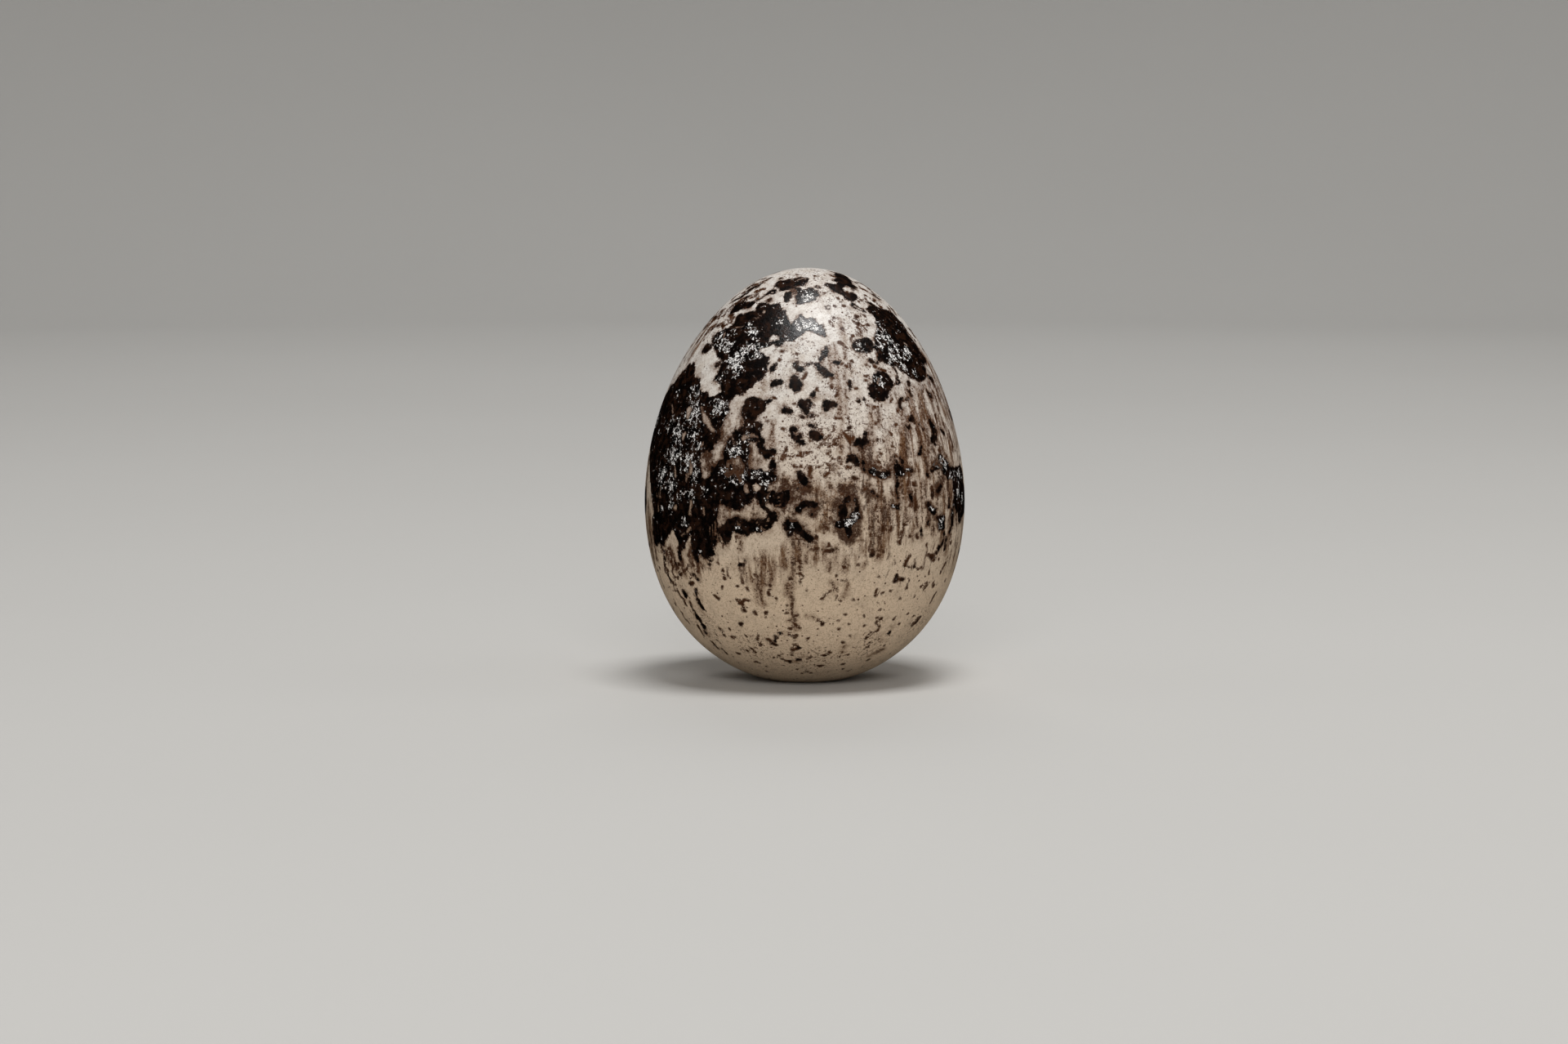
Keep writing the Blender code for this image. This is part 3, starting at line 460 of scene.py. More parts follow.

# Where pale flecks show through the black, partly bare shell and partly painted
# glints, where the brown runs in streaks down the egg, and where brown grains lie thick.
FLECK_AND_GLINT_ZONES = (
    (-50, 27.8, 1.1), (-42, 27.3, 1.1), (-35, 26.7, 1.4), (-28, 27.2, 1.3), (-31, 28.6, .8),
    (-33, 25.8, 1.1), (-39, 24.8, .6), (-22, 27.2, 1.0), (-36, 22.7, 1.1), (-32, 22.3, .8),
    (-5, 29.3, .9), (0, 29.2, .8), (6, 28.9, .7), (-17, 29.2, .5), (0, 31.3, 1.0), (-37, 29.0, .5),
    (-52, 23.8, 1.0), (-50, 22, 1.4), (-56, 20.6, 1.3), (-47, 20.6, 1.1), (-56, 18.6, 1.3),
    (-47, 18.2, 1.3), (-43, 17.5, .9), (-64, 21, .7), (-62, 17, 1.1), (-55, 16.5, 1.1),
    (-55, 14.6, .6), (-22, 20.6, .8), (-26, 19.2, 1.2), (-28, 17.8, 1.1),
    (-24, 17.4, .9), (-16.5, 17.6, .8), (-13, 17.3, .7), (-74, 20.3, .5), (-86, 21, 1.4),
    (48, 29.2, .5), (42, 28.0, .9), (47, 28.0, 1.0), (41, 27.4, .8), (50, 27.3, .9),
    (44, 26.6, 1.0), (52, 26.5, .9), (58, 26.8, .7), (51, 25.7, .8), (57, 25.3, .5),
    (34, 24.8, .7), (31, 25.2, .4), (57, 18.2, .5), (62, 17.8, .6), (66, 17.0, .9), (75, 16.8, 1.0),
    (86, 17.5, 1.2), (29, 17.5, .4), (-20, 14.6, .3), (-50, 15.6, .6),
    (-44, 19.6, .7), (-62, 14.4, .5), (-66, 23.6, .5), (-44, 15.6, .7), (-37, 16.2, .5),
    (-17, 13.5, .35), (-24, 13.5, .3), (-9, 15.8, .35),
    (-.5, 15.2, .3), (-4, 13.7, .3), (15, 13.8, .5), (55, 18.2, .5), (50.5, 14.8, .3), (57, 13.2, .6),
    (36, 17.8, .5), (39.5, 17.9, .35), (29.5, 17.4, .6), (25, 17.8, .4), (17.6, 14.2, .6),
    (11.8, 13.75, .4),
    (51, 14.6, .4), (28, 27.4, .5), (33, 14.95, .3), (57, 18.0, .6), (60.5, 18.2, .6),
    (72, 15.6, .6), (78, 14.8, .7), (-30, 16.6, .5), (-47, 13.6, .6), (5, 30.6, .4), (60, 28.6, .4),
)
SMEAR_ZONES = (
    (44, 19, 4.0), (50, 22.5, 3.2), (60, 22, 4.0), (70, 20.5, 4.0), (61, 14, 4.2), (50, 15.5, 3.6),
    (38, 16.5, 3.2), (72, 12, 4.0), (76, 25, 3.4), (28, 16.3, 3.0), (22, 15.5, 2.6), (34, 13.6, 3.0),
    (9, 15.5, 2.8), (-26, 18.8, 3.0), (-24, 14.6, 2.4), (-5, 11.2, 1.8), (-16, 10.0, 2.2),
    (-42, 10.5, 2.0), (-30, 21.3, 1.8), (3, 11.5, 1.6), (14, 11, 1.6), (26, 12, 2.0),
    (-78, 27.5, 3.2), (-78, 12, 3.2), (120, 14, 6.0), (170, 16, 7.0), (-130, 15, 7.0), (-100, 25, 4.0),
    (150, 24, 5.0), (95, 22, 4.5), (-155, 27, 4.0), (-95, 10, 4.0),
)
GRAIN_ZONES = (
    (3, 19.0, 3.0), (9, 18.2, 2.6), (15, 17.4, 2.2), (-3, 17.8, 2.2), (0, 16.2, 2.4), (8, 15.6, 2.2),
    (32, 21, 3.0), (37, 20.2, 2.4), (30, 19.3, 2.0), (20, 22, 2.6), (12, 31.4, 2.4), (45, 22.5, 2.0),
    (-5, 19.5, 2.6), (5, 21, 2.6), (12, 24, 2.4), (-3, 27.5, 2.0), (22, 29, 2.2), (-60, 29, 2.0),
    (40, 25, 2.0), (0, 22, 3.0), (-8, 25, 2.6), (10, 26, 2.6), (25, 26, 2.6), (30, 29.5, 2.4),
    (0, 33, 3.4),
    (5, 2.5, 3.0), (-25, 3.5, 3.0), (35, 3.5, 3.0), (-50, 5, 3.0), (60, 5, 3.0),
    (140, 20, 6.0), (-140, 12, 6.0), (-170, 24, 6.0), (100, 12, 5.0), (180, 4, 6.0), (110, 27, 5.0),
)

# The side away from the camera: the belt closes round it, as wide black strokes.
FAR_STROKES = (
    ((-92, 20.6, 1.7), (-104, 19.6, 2.1), (-116, 20.4, 1.6), (-125, 18.7, 1.1)),
    ((-138, 21.6, 1.2), (-150, 20.2, 1.8), (-161, 18.3, 1.3)), ((178, 22.4, 1.1), (169, 20.2, 1.5)),
    ((152, 17.6, 1.2), (139, 18.6, 1.8), (125, 17.2, 1.3)), ((94, 17.6, 1.3), (106, 17.2, 1.5)),
    ((-98, 27.6, 1.0), (-111, 28.4, 1.2)), ((-148, 28.0, 1.1), (-165, 28.9, 1.3), (178, 28.4, 0.9)),
    ((118, 27.0, 1.2), (132, 27.9, 1.1)), ((-112, 13.2, 0.8), (-107, 13.9, 0.6)),
    ((162, 12.6, 0.7), (167, 13.2, 0.5)), ((-150, 14.6, 0.5), (-145, 14.9, 0.6)),
    ((112, 22.3, 0.7), (117, 22.8, 0.5)), ((90, 24.4, 0.5), (94, 24.9, 0.4)),
    ((-172, 15.2, 0.5),), ((137, 13.4, 0.4),), ((150, 31.6, 0.6), (-170, 31.9, 0.5)),
    ((-124, 16.8, 0.8), (-133, 16.2, 1.0), (-141, 16.9, 0.6)), ((-168, 16.9, 0.8), (-178, 17.4, 1.1)),
    ((118, 15.4, 0.8), (111, 14.6, 0.6)), ((146, 15.2, 0.6), (153, 14.8, 0.7)),
    ((-84, 14.6, 1.0), (-92, 15.4, 1.2), (-99, 14.8, 0.7)), ((-128, 24.8, 0.6), (-122, 25.4, 0.7)),
    ((160, 25.6, 0.5), (166, 26.0, 0.6)), ((142, 23.4, 0.5),), ((-104, 24.2, 0.5),),
    ((-126, 23.0, 1.1), (-138, 24.4, 1.6), (-151, 23.6, 1.0)),
    ((118, 24.6, 0.9), (129, 23.6, 1.3), (137, 21.9, 0.7)),
    ((122, 30.3, 0.5), (138, 30.8, 0.7)), ((-138, 30.7, 0.5), (-156, 31.2, 0.6)),
    ((180, 30.1, 0.6), (168, 29.7, 0.5)),
    ((100, 31.6, 0.35),), ((-100, 31.0, 0.4), (-114, 31.5, 0.4)), ((98, 28.4, 0.5), (104, 29.2, 0.6)),
    ((86, 21.6, 0.6), (92, 21.2, 0.8), (97, 20.4, 0.5)), ((84, 14.2, 0.5), (89, 13.6, 0.4)),
    ((104, 13.2, 0.5), (110, 12.6, 0.4)), ((-160, 13.2, 0.6), (-168, 12.6, 0.5)), ((128, 11.4, 0.4),),
    ((96, 30.4, 0.4), (107, 30.9, 0.6)), ((-119, 29.8, 0.5), (-129, 30.2, 0.4)),
    ((158, 32.3, 0.4), (175, 32.6, 0.3)),
    ((-96, 32.2, 0.4),), ((112, 32.4, 0.3), (128, 32.1, 0.4)), ((150, 29.2, 0.3), (156, 28.6, 0.4)),
    ((-124, 11.6, 0.5), (-131, 11.1, 0.4)), ((155, 21.3, 0.6),), ((-172, 26.0, 0.7), (-165, 25.3, 0.5)),
)
# The far side's fleck zones: partly bare shell, partly painted glints.
FAR_FLECK_AND_GLINT_ZONES = (
    (-100, 20, 2.0), (-112, 20.2, 1.8), (-148, 20.4, 1.9), (-158, 19, 1.5), (172, 21, 1.7),
    (140, 18.6, 1.9), (128, 17.4, 1.4), (103, 17.2, 1.7), (-108, 28.2, 1.4), (-160, 28.6, 1.6),
    (126, 27.5, 1.4), (-132, 16.4, 1.0), (180, 17.4, 1.0), (-140, 24.2, 1.8), (126, 23.8, 1.4),
    (136, 30.7, 0.7), (91, 21.3, 0.8), (-164, 13.0, 0.6),
)
FAR_WASHES = (
    (98, 15, 3.4), (118, 16, 3.6), (140, 16, 3.8), (163, 17, 3.8), (-174, 16, 3.8), (-150, 17, 3.8),
    (-126, 16, 3.8), (-102, 15.5, 3.8), (-160, 24, 2.8), (125, 24, 2.8),
)

# Fields of short thin runs: degrees from and to, millimetres from and to, how many.
DRIP_FIELDS = (
    (32, 88, 10, 26.5, 120), (50, 86, 18, 26, 60), (88, 272, 6, 28, 210), (-90, -66, 6, 13, 12),
    (-90, -66, 25, 31, 20), (-45, -14, 9.5, 13, 14), (12, 34, 13, 23, 20), (20, 32, 13, 18, 10),
)
# Fields of small spots, the same way, with the largest radius.
SPOT_FIELDS = (
    (80, 280, 1, 32, 420, .17), (-90, -38, 27.5, 32.6, 90, .17), (-40, 90, 30.6, 33, 36, .16),
    (55, 90, 26, 31.5, 40, .15), (-85, 85, 0.8, 10, 90, .085), (-66, -42, 8.4, 11.6, 36, .17),
    (12, 40, 21, 30, 40, .1), (-10, 14, 17.5, 22, 30, .1),
    (82, 278, 0.8, 11, 170, .15), (85, 275, 28, 32.8, 70, .2), (-8, 40, 12, 21, 60, .09),
)


class ThinMark(Enum):
    """The kinds of thin mark that the shader draws from an exact distance."""

    BLACK = "black"
    BROWN = "brown"
    # Bare marks: real gaps, and painted glints that show the shell's colour.
    BARE_AND_GLINT = "bare"


@dataclass(frozen=True)
class EggForm:
    """The egg's own form, in millimetres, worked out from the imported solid's box."""

    breadth: float
    height: float
    widest_drop: float = 2.1
    flat_cut: float = 0.453  # what the flat spot takes off the full length
    flat_rounding: float = 0.08  # height over which the flat spot's edge is rounded
    tip_lean: float = 0.2  # the pointed end stands this far to the right
    lean_from: float = 0.6  # share of the height from which it leans
    calm_base: float = 1.5  # the waves and dimples come in over this height
    wave_depth: float = 0.03
    wave_length: float = 6.0
    dimple_depth: float = 0.005
    dimple_length: float = 0.9
    steps: int = 128  # of each of the six square fields of the surface
    outline_steps: int = 4000

    @property
    def length(self) -> float:
        """Tip to tip, as if there were no flat spot."""
        return self.height + self.flat_cut

    def radius_at(self, height: np.ndarray) -> np.ndarray:
        """Gives the egg's radius at heights above the flat spot.

        Args:
            height: heights in millimetres.

        Returns:
            The radii in millimetres.
        """
        offset = np.asarray(height) + self.flat_cut - self.length / 2
        ellipse = np.maximum(self.length**2 - 4 * offset**2, 0.0)
        taper = self.length**2 + 8 * self.widest_drop * offset + 4 * self.widest_drop**2
        return self.breadth / 2 * np.sqrt(ellipse / taper)

    def outline(self) -> Tuple[np.ndarray, np.ndarray, np.ndarray]:
        """Runs down the egg from the tip to the middle of the flat spot.

        Returns:
            Radius, height and the distance run so far, at each step.
        """
        turn = np.linspace(0, math.pi, self.outline_steps)
        raw = self.length / 2 * (1 + np.cos(turn)) - self.flat_cut
        radius = self.radius_at(raw)
        edge = self.flat_rounding
        rounded = np.clip(raw + edge, 0, 2 * edge) ** 2 / (4 * edge)
        height = np.where(raw > edge, raw, rounded)
        run = np.concatenate(([0.0], np.cumsum(np.hypot(np.diff(radius), np.diff(height)))))
        return radius, height, run

    def run_at(self, height: np.ndarray) -> np.ndarray:
        """Gives the distance run down the shell from the tip to each height."""
        _, heights, run = self.outline()
        return np.interp(-np.asarray(height), -heights, run)

    def place(self, azimuth: float, height: float) -> np.ndarray:
        """Gives the point on the shell at a place round it and up it.

        Args:
            azimuth: degrees round the egg.
            height: millimetres above the flat spot.

        Returns:
            The point in millimetres.
        """
        turn = math.radians(azimuth)
        radius = float(self.radius_at(height))
        return np.array((radius * math.sin(turn), -radius * math.cos(turn), height))

    def squares(self) -> Tuple[np.ndarray, np.ndarray]:
        """Covers a ball with six square fields of quads that meet edge to edge.

        Returns:
            Unit directions, one row each, and the quads' four corners each.
        """
        marks = np.tan(np.linspace(-math.pi / 4, math.pi / 4, self.steps + 1))
        across, up = np.meshgrid(marks, marks)
        one = np.ones_like(across)
        fields = (
            (one, across, up), (-one, -across, up), (-across, one, up),
            (across, -one, up), (-up, across, one), (up, across, -one),
        )
        points = np.concatenate([np.stack(field, -1).reshape(-1, 3) for field in fields])
        points /= np.linalg.norm(points, axis=1)[:, None]
        row = self.steps + 1
        corner = np.arange(row * row).reshape(row, row)
        quad = np.stack((corner[:-1, :-1], corner[:-1, 1:], corner[1:, 1:], corner[1:, :-1]), -1)
        quads = np.concatenate([quad.reshape(-1, 4) + row * row * n for n in range(len(fields))])
        _, first, same = np.unique(points.round(7), axis=0, return_index=True, return_inverse=True)
        return points[first], same.reshape(-1)[quads]

    def surface(self) -> Tuple[np.ndarray, np.ndarray]:
        """Wraps the six fields onto the egg.

        Returns:
            Points in millimetres and the quads' corners.
        """
        points, quads = self.squares()
        radius, height, run = self.outline()
        down = np.arccos(np.clip(points[:, 2], -1, 1)) / math.pi * run[-1]
        around = points[:, :2] / np.maximum(np.linalg.norm(points[:, :2], axis=1), 1e-9)[:, None]
        across = around * np.interp(down, run, radius)[:, None]
        return np.column_stack((across, np.interp(down, run, height))), quads

    def weathered(self, shell: np.ndarray) -> np.ndarray:
        """Presses faint waves and dimples into the shell and leans the tip.

        Args:
            shell: points of the perfect egg, in millimetres.

        Returns:
            The points of the finished shell, none outside the perfect one's box.
        """
        wave = chatter(shell, self.wave_length) * self.wave_depth
        dimple = chatter(shell, self.dimple_length) * self.dimple_depth
        inward = (wave + dimple - self.wave_depth - self.dimple_depth)[:, None]
        rise = np.clip(shell[:, 2:] / self.calm_base, 0, 1)
        moved = shell * (1 + inward * rise / np.linalg.norm(shell, axis=1).clip(1.0)[:, None])
        start = self.height * self.lean_from
        high = np.clip((shell[:, 2] - start) / (self.height - start), 0, 1)
        moved[:, 0] += self.tip_lean * high * high * (3 - 2 * high)
        moved[:, 2] = np.where(shell[:, 2] < 1e-6, 0.0, moved[:, 2])
        return moved


def chatter(points: np.ndarray, wavelength: float) -> np.ndarray:
    """Gives smooth noise from -1 to 1 at each point, on waves of that length."""
    return np.array([noise.noise(Vector(point)) for point in points / wavelength])


def stirred(points: np.ndarray, wavelength: float, amount: np.ndarray) -> np.ndarray:
    """Moves each point by smooth noise of that wavelength, by up to amount."""
    push = np.array([noise.noise_vector(Vector(point)) for point in points / wavelength])
    return points + push * np.asarray(amount).reshape(-1, 1)


@dataclass
class Markings:
    """The pigment, worked out at each point of the shell as smooth fields."""

    form: EggForm
    shell: np.ndarray
    thin: float = 0.2  # strokes thinner than this are drawn from an exact distance
    cut_off: float = 0.26  # and only this far from their edge
    nowhere: float = -5.0  # the radius carried where no thin stroke is near
    far: float = 1.5  # no mark is felt farther off than this
    seed: int = 5
    side_angle: float = 80.0  # degrees round, where the looser ruffling starts
    side_fade: float = 40.0  # degrees over which it comes in
    # Each ruffling: its wavelength, its amount and how much it grows far round.
    ruffles: Sequence[Tuple[float, float, float]] = ((2.6, 0.1, 1.1), (0.75, 0.2, 0.15))
    wash_fade: float = 1.6  # a wash comes in over this width
    wash_at_edge: float = 0.6  # its share on its own outline
    far_wash: float = 0.6  # how strong the washes of the far side are
    fleck_and_glint_reach: float = 1.5  # fleck zones, which also set painted glints, reach this many times their radius
    fleck_and_glint_slope: float = 1.1
    blotches: int = 150
    blotch_sector: Tuple[float, float] = (88, 272)  # degrees from and to
    blotch_top: float = 33.0
    blotch_climb: float = 0.75  # under 1, more blotches lie high up
    blotch_radii: Tuple[float, float] = (0.15, 0.48)
    low_height: float = 10.0  # blotches lower than this are smaller
    low_size: float = 0.55
    drip_least: float = 0.3  # the shortest drip
    drip_more: float = 2.2  # how much longer the longest one is
    drip_radii: Tuple[float, float] = (0.07, 0.19)
    drip_slant: float = 1.2  # degrees that a drip may wander

    def __post_init__(self) -> None:
        """Ruffles the ground that the marks lie on, so that no edge is drawn by rule."""
        noise.seed_set(self.seed)  # noise_vector differs from run to run without it
        azimuth = np.degrees(np.abs(np.arctan2(self.shell[:, 0], -self.shell[:, 1])))
        away = np.clip((azimuth - self.side_angle) / self.side_fade, 0, 1)
        self.ground = self.shell
        for wavelength, amount, more in self.ruffles:
            self.ground = stirred(self.ground, wavelength, amount + more * away)
        self.azimuth = np.arctan2(self.ground[:, 0], -self.ground[:, 1])
        self.radius = np.hypot(self.ground[:, 0], self.ground[:, 1])
        self.down = self.form.run_at(self.ground[:, 2])

    def patch(self, outline: Outline) -> np.ndarray:
        """Measures how deep each point lies inside an outlined patch.

        Args:
            outline: the patch's corners, as degrees round and millimetres up.

        Returns:
            Millimetres inside the edge, less than nothing outside it.
        """
        corners = np.array(outline, float)
        turns, downs = np.radians(corners[:, 0]), self.form.run_at(corners[:, 1])
        middle = (turns.min() + turns.max()) / 2
        off = (self.azimuth - middle + math.pi) % math.tau - math.pi
        near = np.abs(off) < np.ptp(turns) / 2 + 1
        near &= (self.down > downs.min() - self.far) & (self.down < downs.max() + self.far)
        x = (turns[None, :] - middle - off[near, None]) * self.radius[near, None]
        y = self.down[near, None] - downs[None, :]
        inside = np.zeros(len(x), bool)
        gap = np.full(len(x), self.far)
        for here in range(len(corners)):
            there = here - 1
            ex, ey = x[:, there] - x[:, here], y[:, there] - y[:, here]
            along = -(x[:, here] * ex + y[:, here] * ey) / np.maximum(ex * ex + ey * ey, 1e-9)
            along = along.clip(0, 1)
            gap = np.minimum(gap, np.hypot(x[:, here] + ex * along, y[:, here] + ey * along))
            crosses = (y[:, here] > 0) != (y[:, there] > 0)
            where = x[:, here] - y[:, here] * ex / np.where(crosses, ey, 1.0)
            inside ^= crosses & (where > 0)
        depth = np.full(len(off), -self.far)
        depth[near] = np.where(inside, gap, -gap)
        return depth

    def nearest(self, strokes: Sequence[Stroke]) -> Tuple[np.ndarray, np.ndarray, np.ndarray]:
        """Finds for each point the stroke that it lies deepest in or nearest to.

        Args:
            strokes: runs of dabs.

        Returns:
            The way there from the stroke's middle line, the stroke's radius and the
            depth inside the stroke's edge, all in millimetres.
        """
        depth = np.full(len(self.ground), -self.far)
        reach = np.zeros(len(self.ground))
        offset = np.zeros_like(self.ground)
        for stroke in strokes:
            dabs = [(self.form.place(dab[0], dab[1]), dab[2]) for dab in stroke]
            for (start, wide), (end, thin) in zip(dabs, dabs[1:] or dabs):
                span = end - start
                extent = np.linalg.norm(span) / 2 + max(wide, thin) + self.far
                close = (np.abs(self.ground - (start + end) / 2) < extent).all(axis=1)
                near = np.nonzero(close)[0]
                along = ((self.ground[near] - start) @ span / max(span @ span, 1e-9)).clip(0, 1)
                away = self.ground[near] - start - along[:, None] * span
                radius = wide + (thin - wide) * along
                deep = radius - np.linalg.norm(away, axis=1)
                better = deep > depth[near]
                won = near[better]
                depth[won], reach[won], offset[won] = deep[better], radius[better], away[better]
        return offset, reach, depth

    def zone(self, dabs: Sequence[Dab], grown: float = 1.0, slope: float = 1.6) -> np.ndarray:
        """Spreads a soft share round each dab.

        Args:
            dabs: the middles of the zone.
            grown: how many times their own radius the dabs reach.
            slope: how fast the share rises from the edge towards the middle.

        Returns:
            1 in the middle of any dab and 0 past its edge, at each point.
        """
        _, reach, depth = self.nearest([((azimuth, up, radius * grown),) for azimuth, up, radius in dabs])
        share = (depth / np.maximum(reach, 1e-6) * slope).clip(0, 1)
        return share * share * (3 - 2 * share)

    def far_spots(self) -> Tuple[List[Stroke], List[Dab]]:
        """Scatters smaller marks over the side away from the camera.

        Returns:
            Blotches as strokes, and single small spots.
        """
        rng = Random(self.seed)
        blotches: List[Stroke] = []
        for _ in range(self.blotches):
            azimuth = rng.uniform(*self.blotch_sector)
            height = self.blotch_top * rng.random() ** self.blotch_climb
            size = 1.0 if height > self.low_height else self.low_size
            radius = rng.uniform(*self.blotch_radii) * size
            turn = rng.uniform(-1, 1) * 3 * radius
            tail = (azimuth + turn * 4, height + turn / 3, radius * 0.7)
            blotches.append(((azimuth, height, radius), tail))
        spots = [
            (rng.uniform(left, right), rng.uniform(bottom, top), rng.uniform(largest / 2, largest))
            for left, right, bottom, top, count, largest in SPOT_FIELDS
            for _ in range(count)
        ]
        return blotches, spots

    def drips(self) -> List[Stroke]:
        """Draws short thin runs down the flanks and the far side.

        Returns:
            The runs as strokes.
        """
        rng = Random(self.seed)
        runs: List[Stroke] = []
        for left, right, bottom, top, count in DRIP_FIELDS:
            for _ in range(count):
                azimuth, height = rng.uniform(left, right), rng.uniform(bottom, top)
                length = self.drip_least + self.drip_more * rng.random() ** 2
                radius = rng.uniform(*self.drip_radii)
                slant = rng.uniform(-self.drip_slant, self.drip_slant)
                runs.append((
                    (azimuth, height, radius * 0.35),
                    (azimuth + slant * 0.7, height - length * 0.7, radius * 0.7),
                    (azimuth + slant, height - length, radius),
                ))
        return runs

    def fields(self) -> Dict[str, np.ndarray]:
        """Works out every field that the shader reads.

        Returns:
            Values or vectors for each point of the shell, by name.
        """
        blotches, spots = self.far_spots()
        strokes = [*BLACK_STROKES, *FAR_STROKES, *blotches]
        wide = [stroke for stroke in strokes if max(dab[2] for dab in stroke) >= self.thin]
        fine = [stroke for stroke in strokes if max(dab[2] for dab in stroke) < self.thin]
        fine += [(spot,) for spot in [*BLACK_SPOTS, *spots]]
        depth = self.nearest(wide)[2]
        for outline in BLACK_PATCHES:
            depth = np.maximum(depth, self.patch(outline))
        for outline in BARE_WINDOWS:
            depth = np.minimum(depth, -self.patch(outline))
        wash = np.zeros(len(depth))
        for strength, outline in BROWN_WASHES:
            share = (self.patch(outline) / self.wash_fade + self.wash_at_edge).clip(0, 1)
            wash = np.maximum(wash, strength * share)
        wash = np.maximum(wash, self.far_wash * self.zone(FAR_WASHES))
        fleck_and_glint = self.zone([*FLECK_AND_GLINT_ZONES, *FAR_FLECK_AND_GLINT_ZONES], self.fleck_and_glint_reach, self.fleck_and_glint_slope)
        found = {
            "black_depth": depth.clip(-1, 2),
            "brown_depth": self.nearest(BROWN_STROKES)[2].clip(-1, 1),
            "brown_wash": wash,
            "fleck_and_glint": fleck_and_glint,
            "smear": self.zone(SMEAR_ZONES),
            "grain": self.zone(GRAIN_ZONES),
        }
        thin_marks = {ThinMark.BLACK: fine, ThinMark.BROWN: self.drips(), ThinMark.BARE_AND_GLINT: BARE_GAPS_AND_GLINTS}
        for kind, marks in thin_marks.items():
            offset, reach, inside = self.nearest(marks)
            found[kind.value + "_offset"] = offset
            found[kind.value + "_reach"] = np.where(inside > -self.cut_off, reach, self.nowhere)
        return found


Value = Union["Wire", float]


class Wire:
    """One output of a shader node. Operators on it add Math nodes."""

    def __init__(self, bench: "Bench", socket: bpy.types.NodeSocket) -> None:
        """Keeps the socket and the bench that new nodes go on."""
        self.bench = bench
        self.socket = socket

    def __add__(self, other: Value) -> "Wire":
        """self + other."""
        return self.bench.maths("ADD", self, other)

    def __radd__(self, other: Value) -> "Wire":
        """other + self."""
        return self.bench.maths("ADD", other, self)

    def __sub__(self, other: Value) -> "Wire":
        """self - other."""
        return self.bench.maths("SUBTRACT", self, other)

    def __rsub__(self, other: Value) -> "Wire":
        """other - self."""
        return self.bench.maths("SUBTRACT", other, self)

    def __mul__(self, other: Value) -> "Wire":
        """self * other."""
        return self.bench.maths("MULTIPLY", self, other)

    def __rmul__(self, other: Value) -> "Wire":
        """other * self."""
        return self.bench.maths("MULTIPLY", other, self)

    def most(self, other: Value) -> "Wire":
        """The larger of self and other."""
        return self.bench.maths("MAXIMUM", self, other)

    def least(self, other: Value) -> "Wire":
        """The smaller of self and other."""
        return self.bench.maths("MINIMUM", self, other)

    def rise(self, low: float, high: float) -> "Wire":
        """Turns self into a soft share.

        Args:
            low: the value where the share is still 0.
            high: the value from which the share is 1.

        Returns:
            The share.
        """
        settings = {"interpolation_type": "SMOOTHSTEP"}
        inputs = {"Value": self, "From Min": low, "From Max": high, "To Min": 0.0, "To Max": 1.0}
        return self.bench.add("ShaderNodeMapRange", settings, inputs)


class Bench:
    """Adds nodes to one material."""

    MIX_FACTOR, MIX_FIRST, MIX_SECOND, MIX_RESULT = 0, 6, 7, 2

    def __init__(self, name: str) -> None:
        """Starts a material with nothing but its output."""
        self.material = bpy.data.materials.new(name)
        self.material.use_nodes = True
        self.tree = self.material.node_tree
        self.tree.nodes.clear()

    def add(
        self,
        kind: str,
        settings: Dict[str, object],
        inputs: Dict[Union[str, int], object],
        output: Union[str, int] = 0,
    ) -> Wire:
        """Adds one node.

        Args:
            kind: the node's type.
            settings: its properties, set first.
            inputs: a value or a wire for each socket, by name or place.
            output: which output to give back.

        Returns:
            That output.
        """
        node = self.tree.nodes.new(kind)
        for name, value in settings.items():
            setattr(node, name, value)
        for key, value in inputs.items():
            if isinstance(value, Wire):
                self.tree.links.new(value.socket, node.inputs[key])
            else:
                node.inputs[key].default_value = value
        return Wire(self, node.outputs[output]) if node.outputs else Wire(self, node.inputs[0])

    def maths(self, operation: str, first: Value, second: Value) -> Wire:
        """Adds one Math node on two values."""
        return self.add("ShaderNodeMath", {"operation": operation}, {0: first, 1: second})

    def field(self, name: str, output: str = "Fac") -> Wire:
        """Reads one of the fields that the mesh carries."""
        return self.add("ShaderNodeAttribute", {"attribute_name": name}, {}, output)

    def vector(self, operation: str, inputs: Dict[Union[str, int], object]) -> Wire:
        """Adds one Vector Math node."""
        return self.add("ShaderNodeVectorMath", {"operation": operation}, inputs)

    def speckle(self, place: Wire, size: float, detail: float = 2.0, rough: float = 0.5) -> Wire:
        """Adds noise with spots about that far across, in the units of place."""
        inputs = {"Vector": place, "Scale": 1 / size, "Detail": detail, "Roughness": rough}
        return self.add("ShaderNodeTexNoise", {}, inputs)

    def blend(self, share: Value, first: object, second: object) -> Wire:
        """Mixes two colours: first where share is 0, second where it is 1."""
        inputs = {self.MIX_FACTOR: share, self.MIX_FIRST: first, self.MIX_SECOND: second}
        return self.add("ShaderNodeMix", {"data_type": "RGBA"}, inputs, self.MIX_RESULT)


@dataclass(frozen=True)
class BrownGround:
    """The noises and fields that every layer of brown is worked out from."""

    streak: Wire
    hair: Wire
    crumb: Wire
    blot: Wire
    black: Wire
    run: Wire
    smear: Wire
    wash: Wire


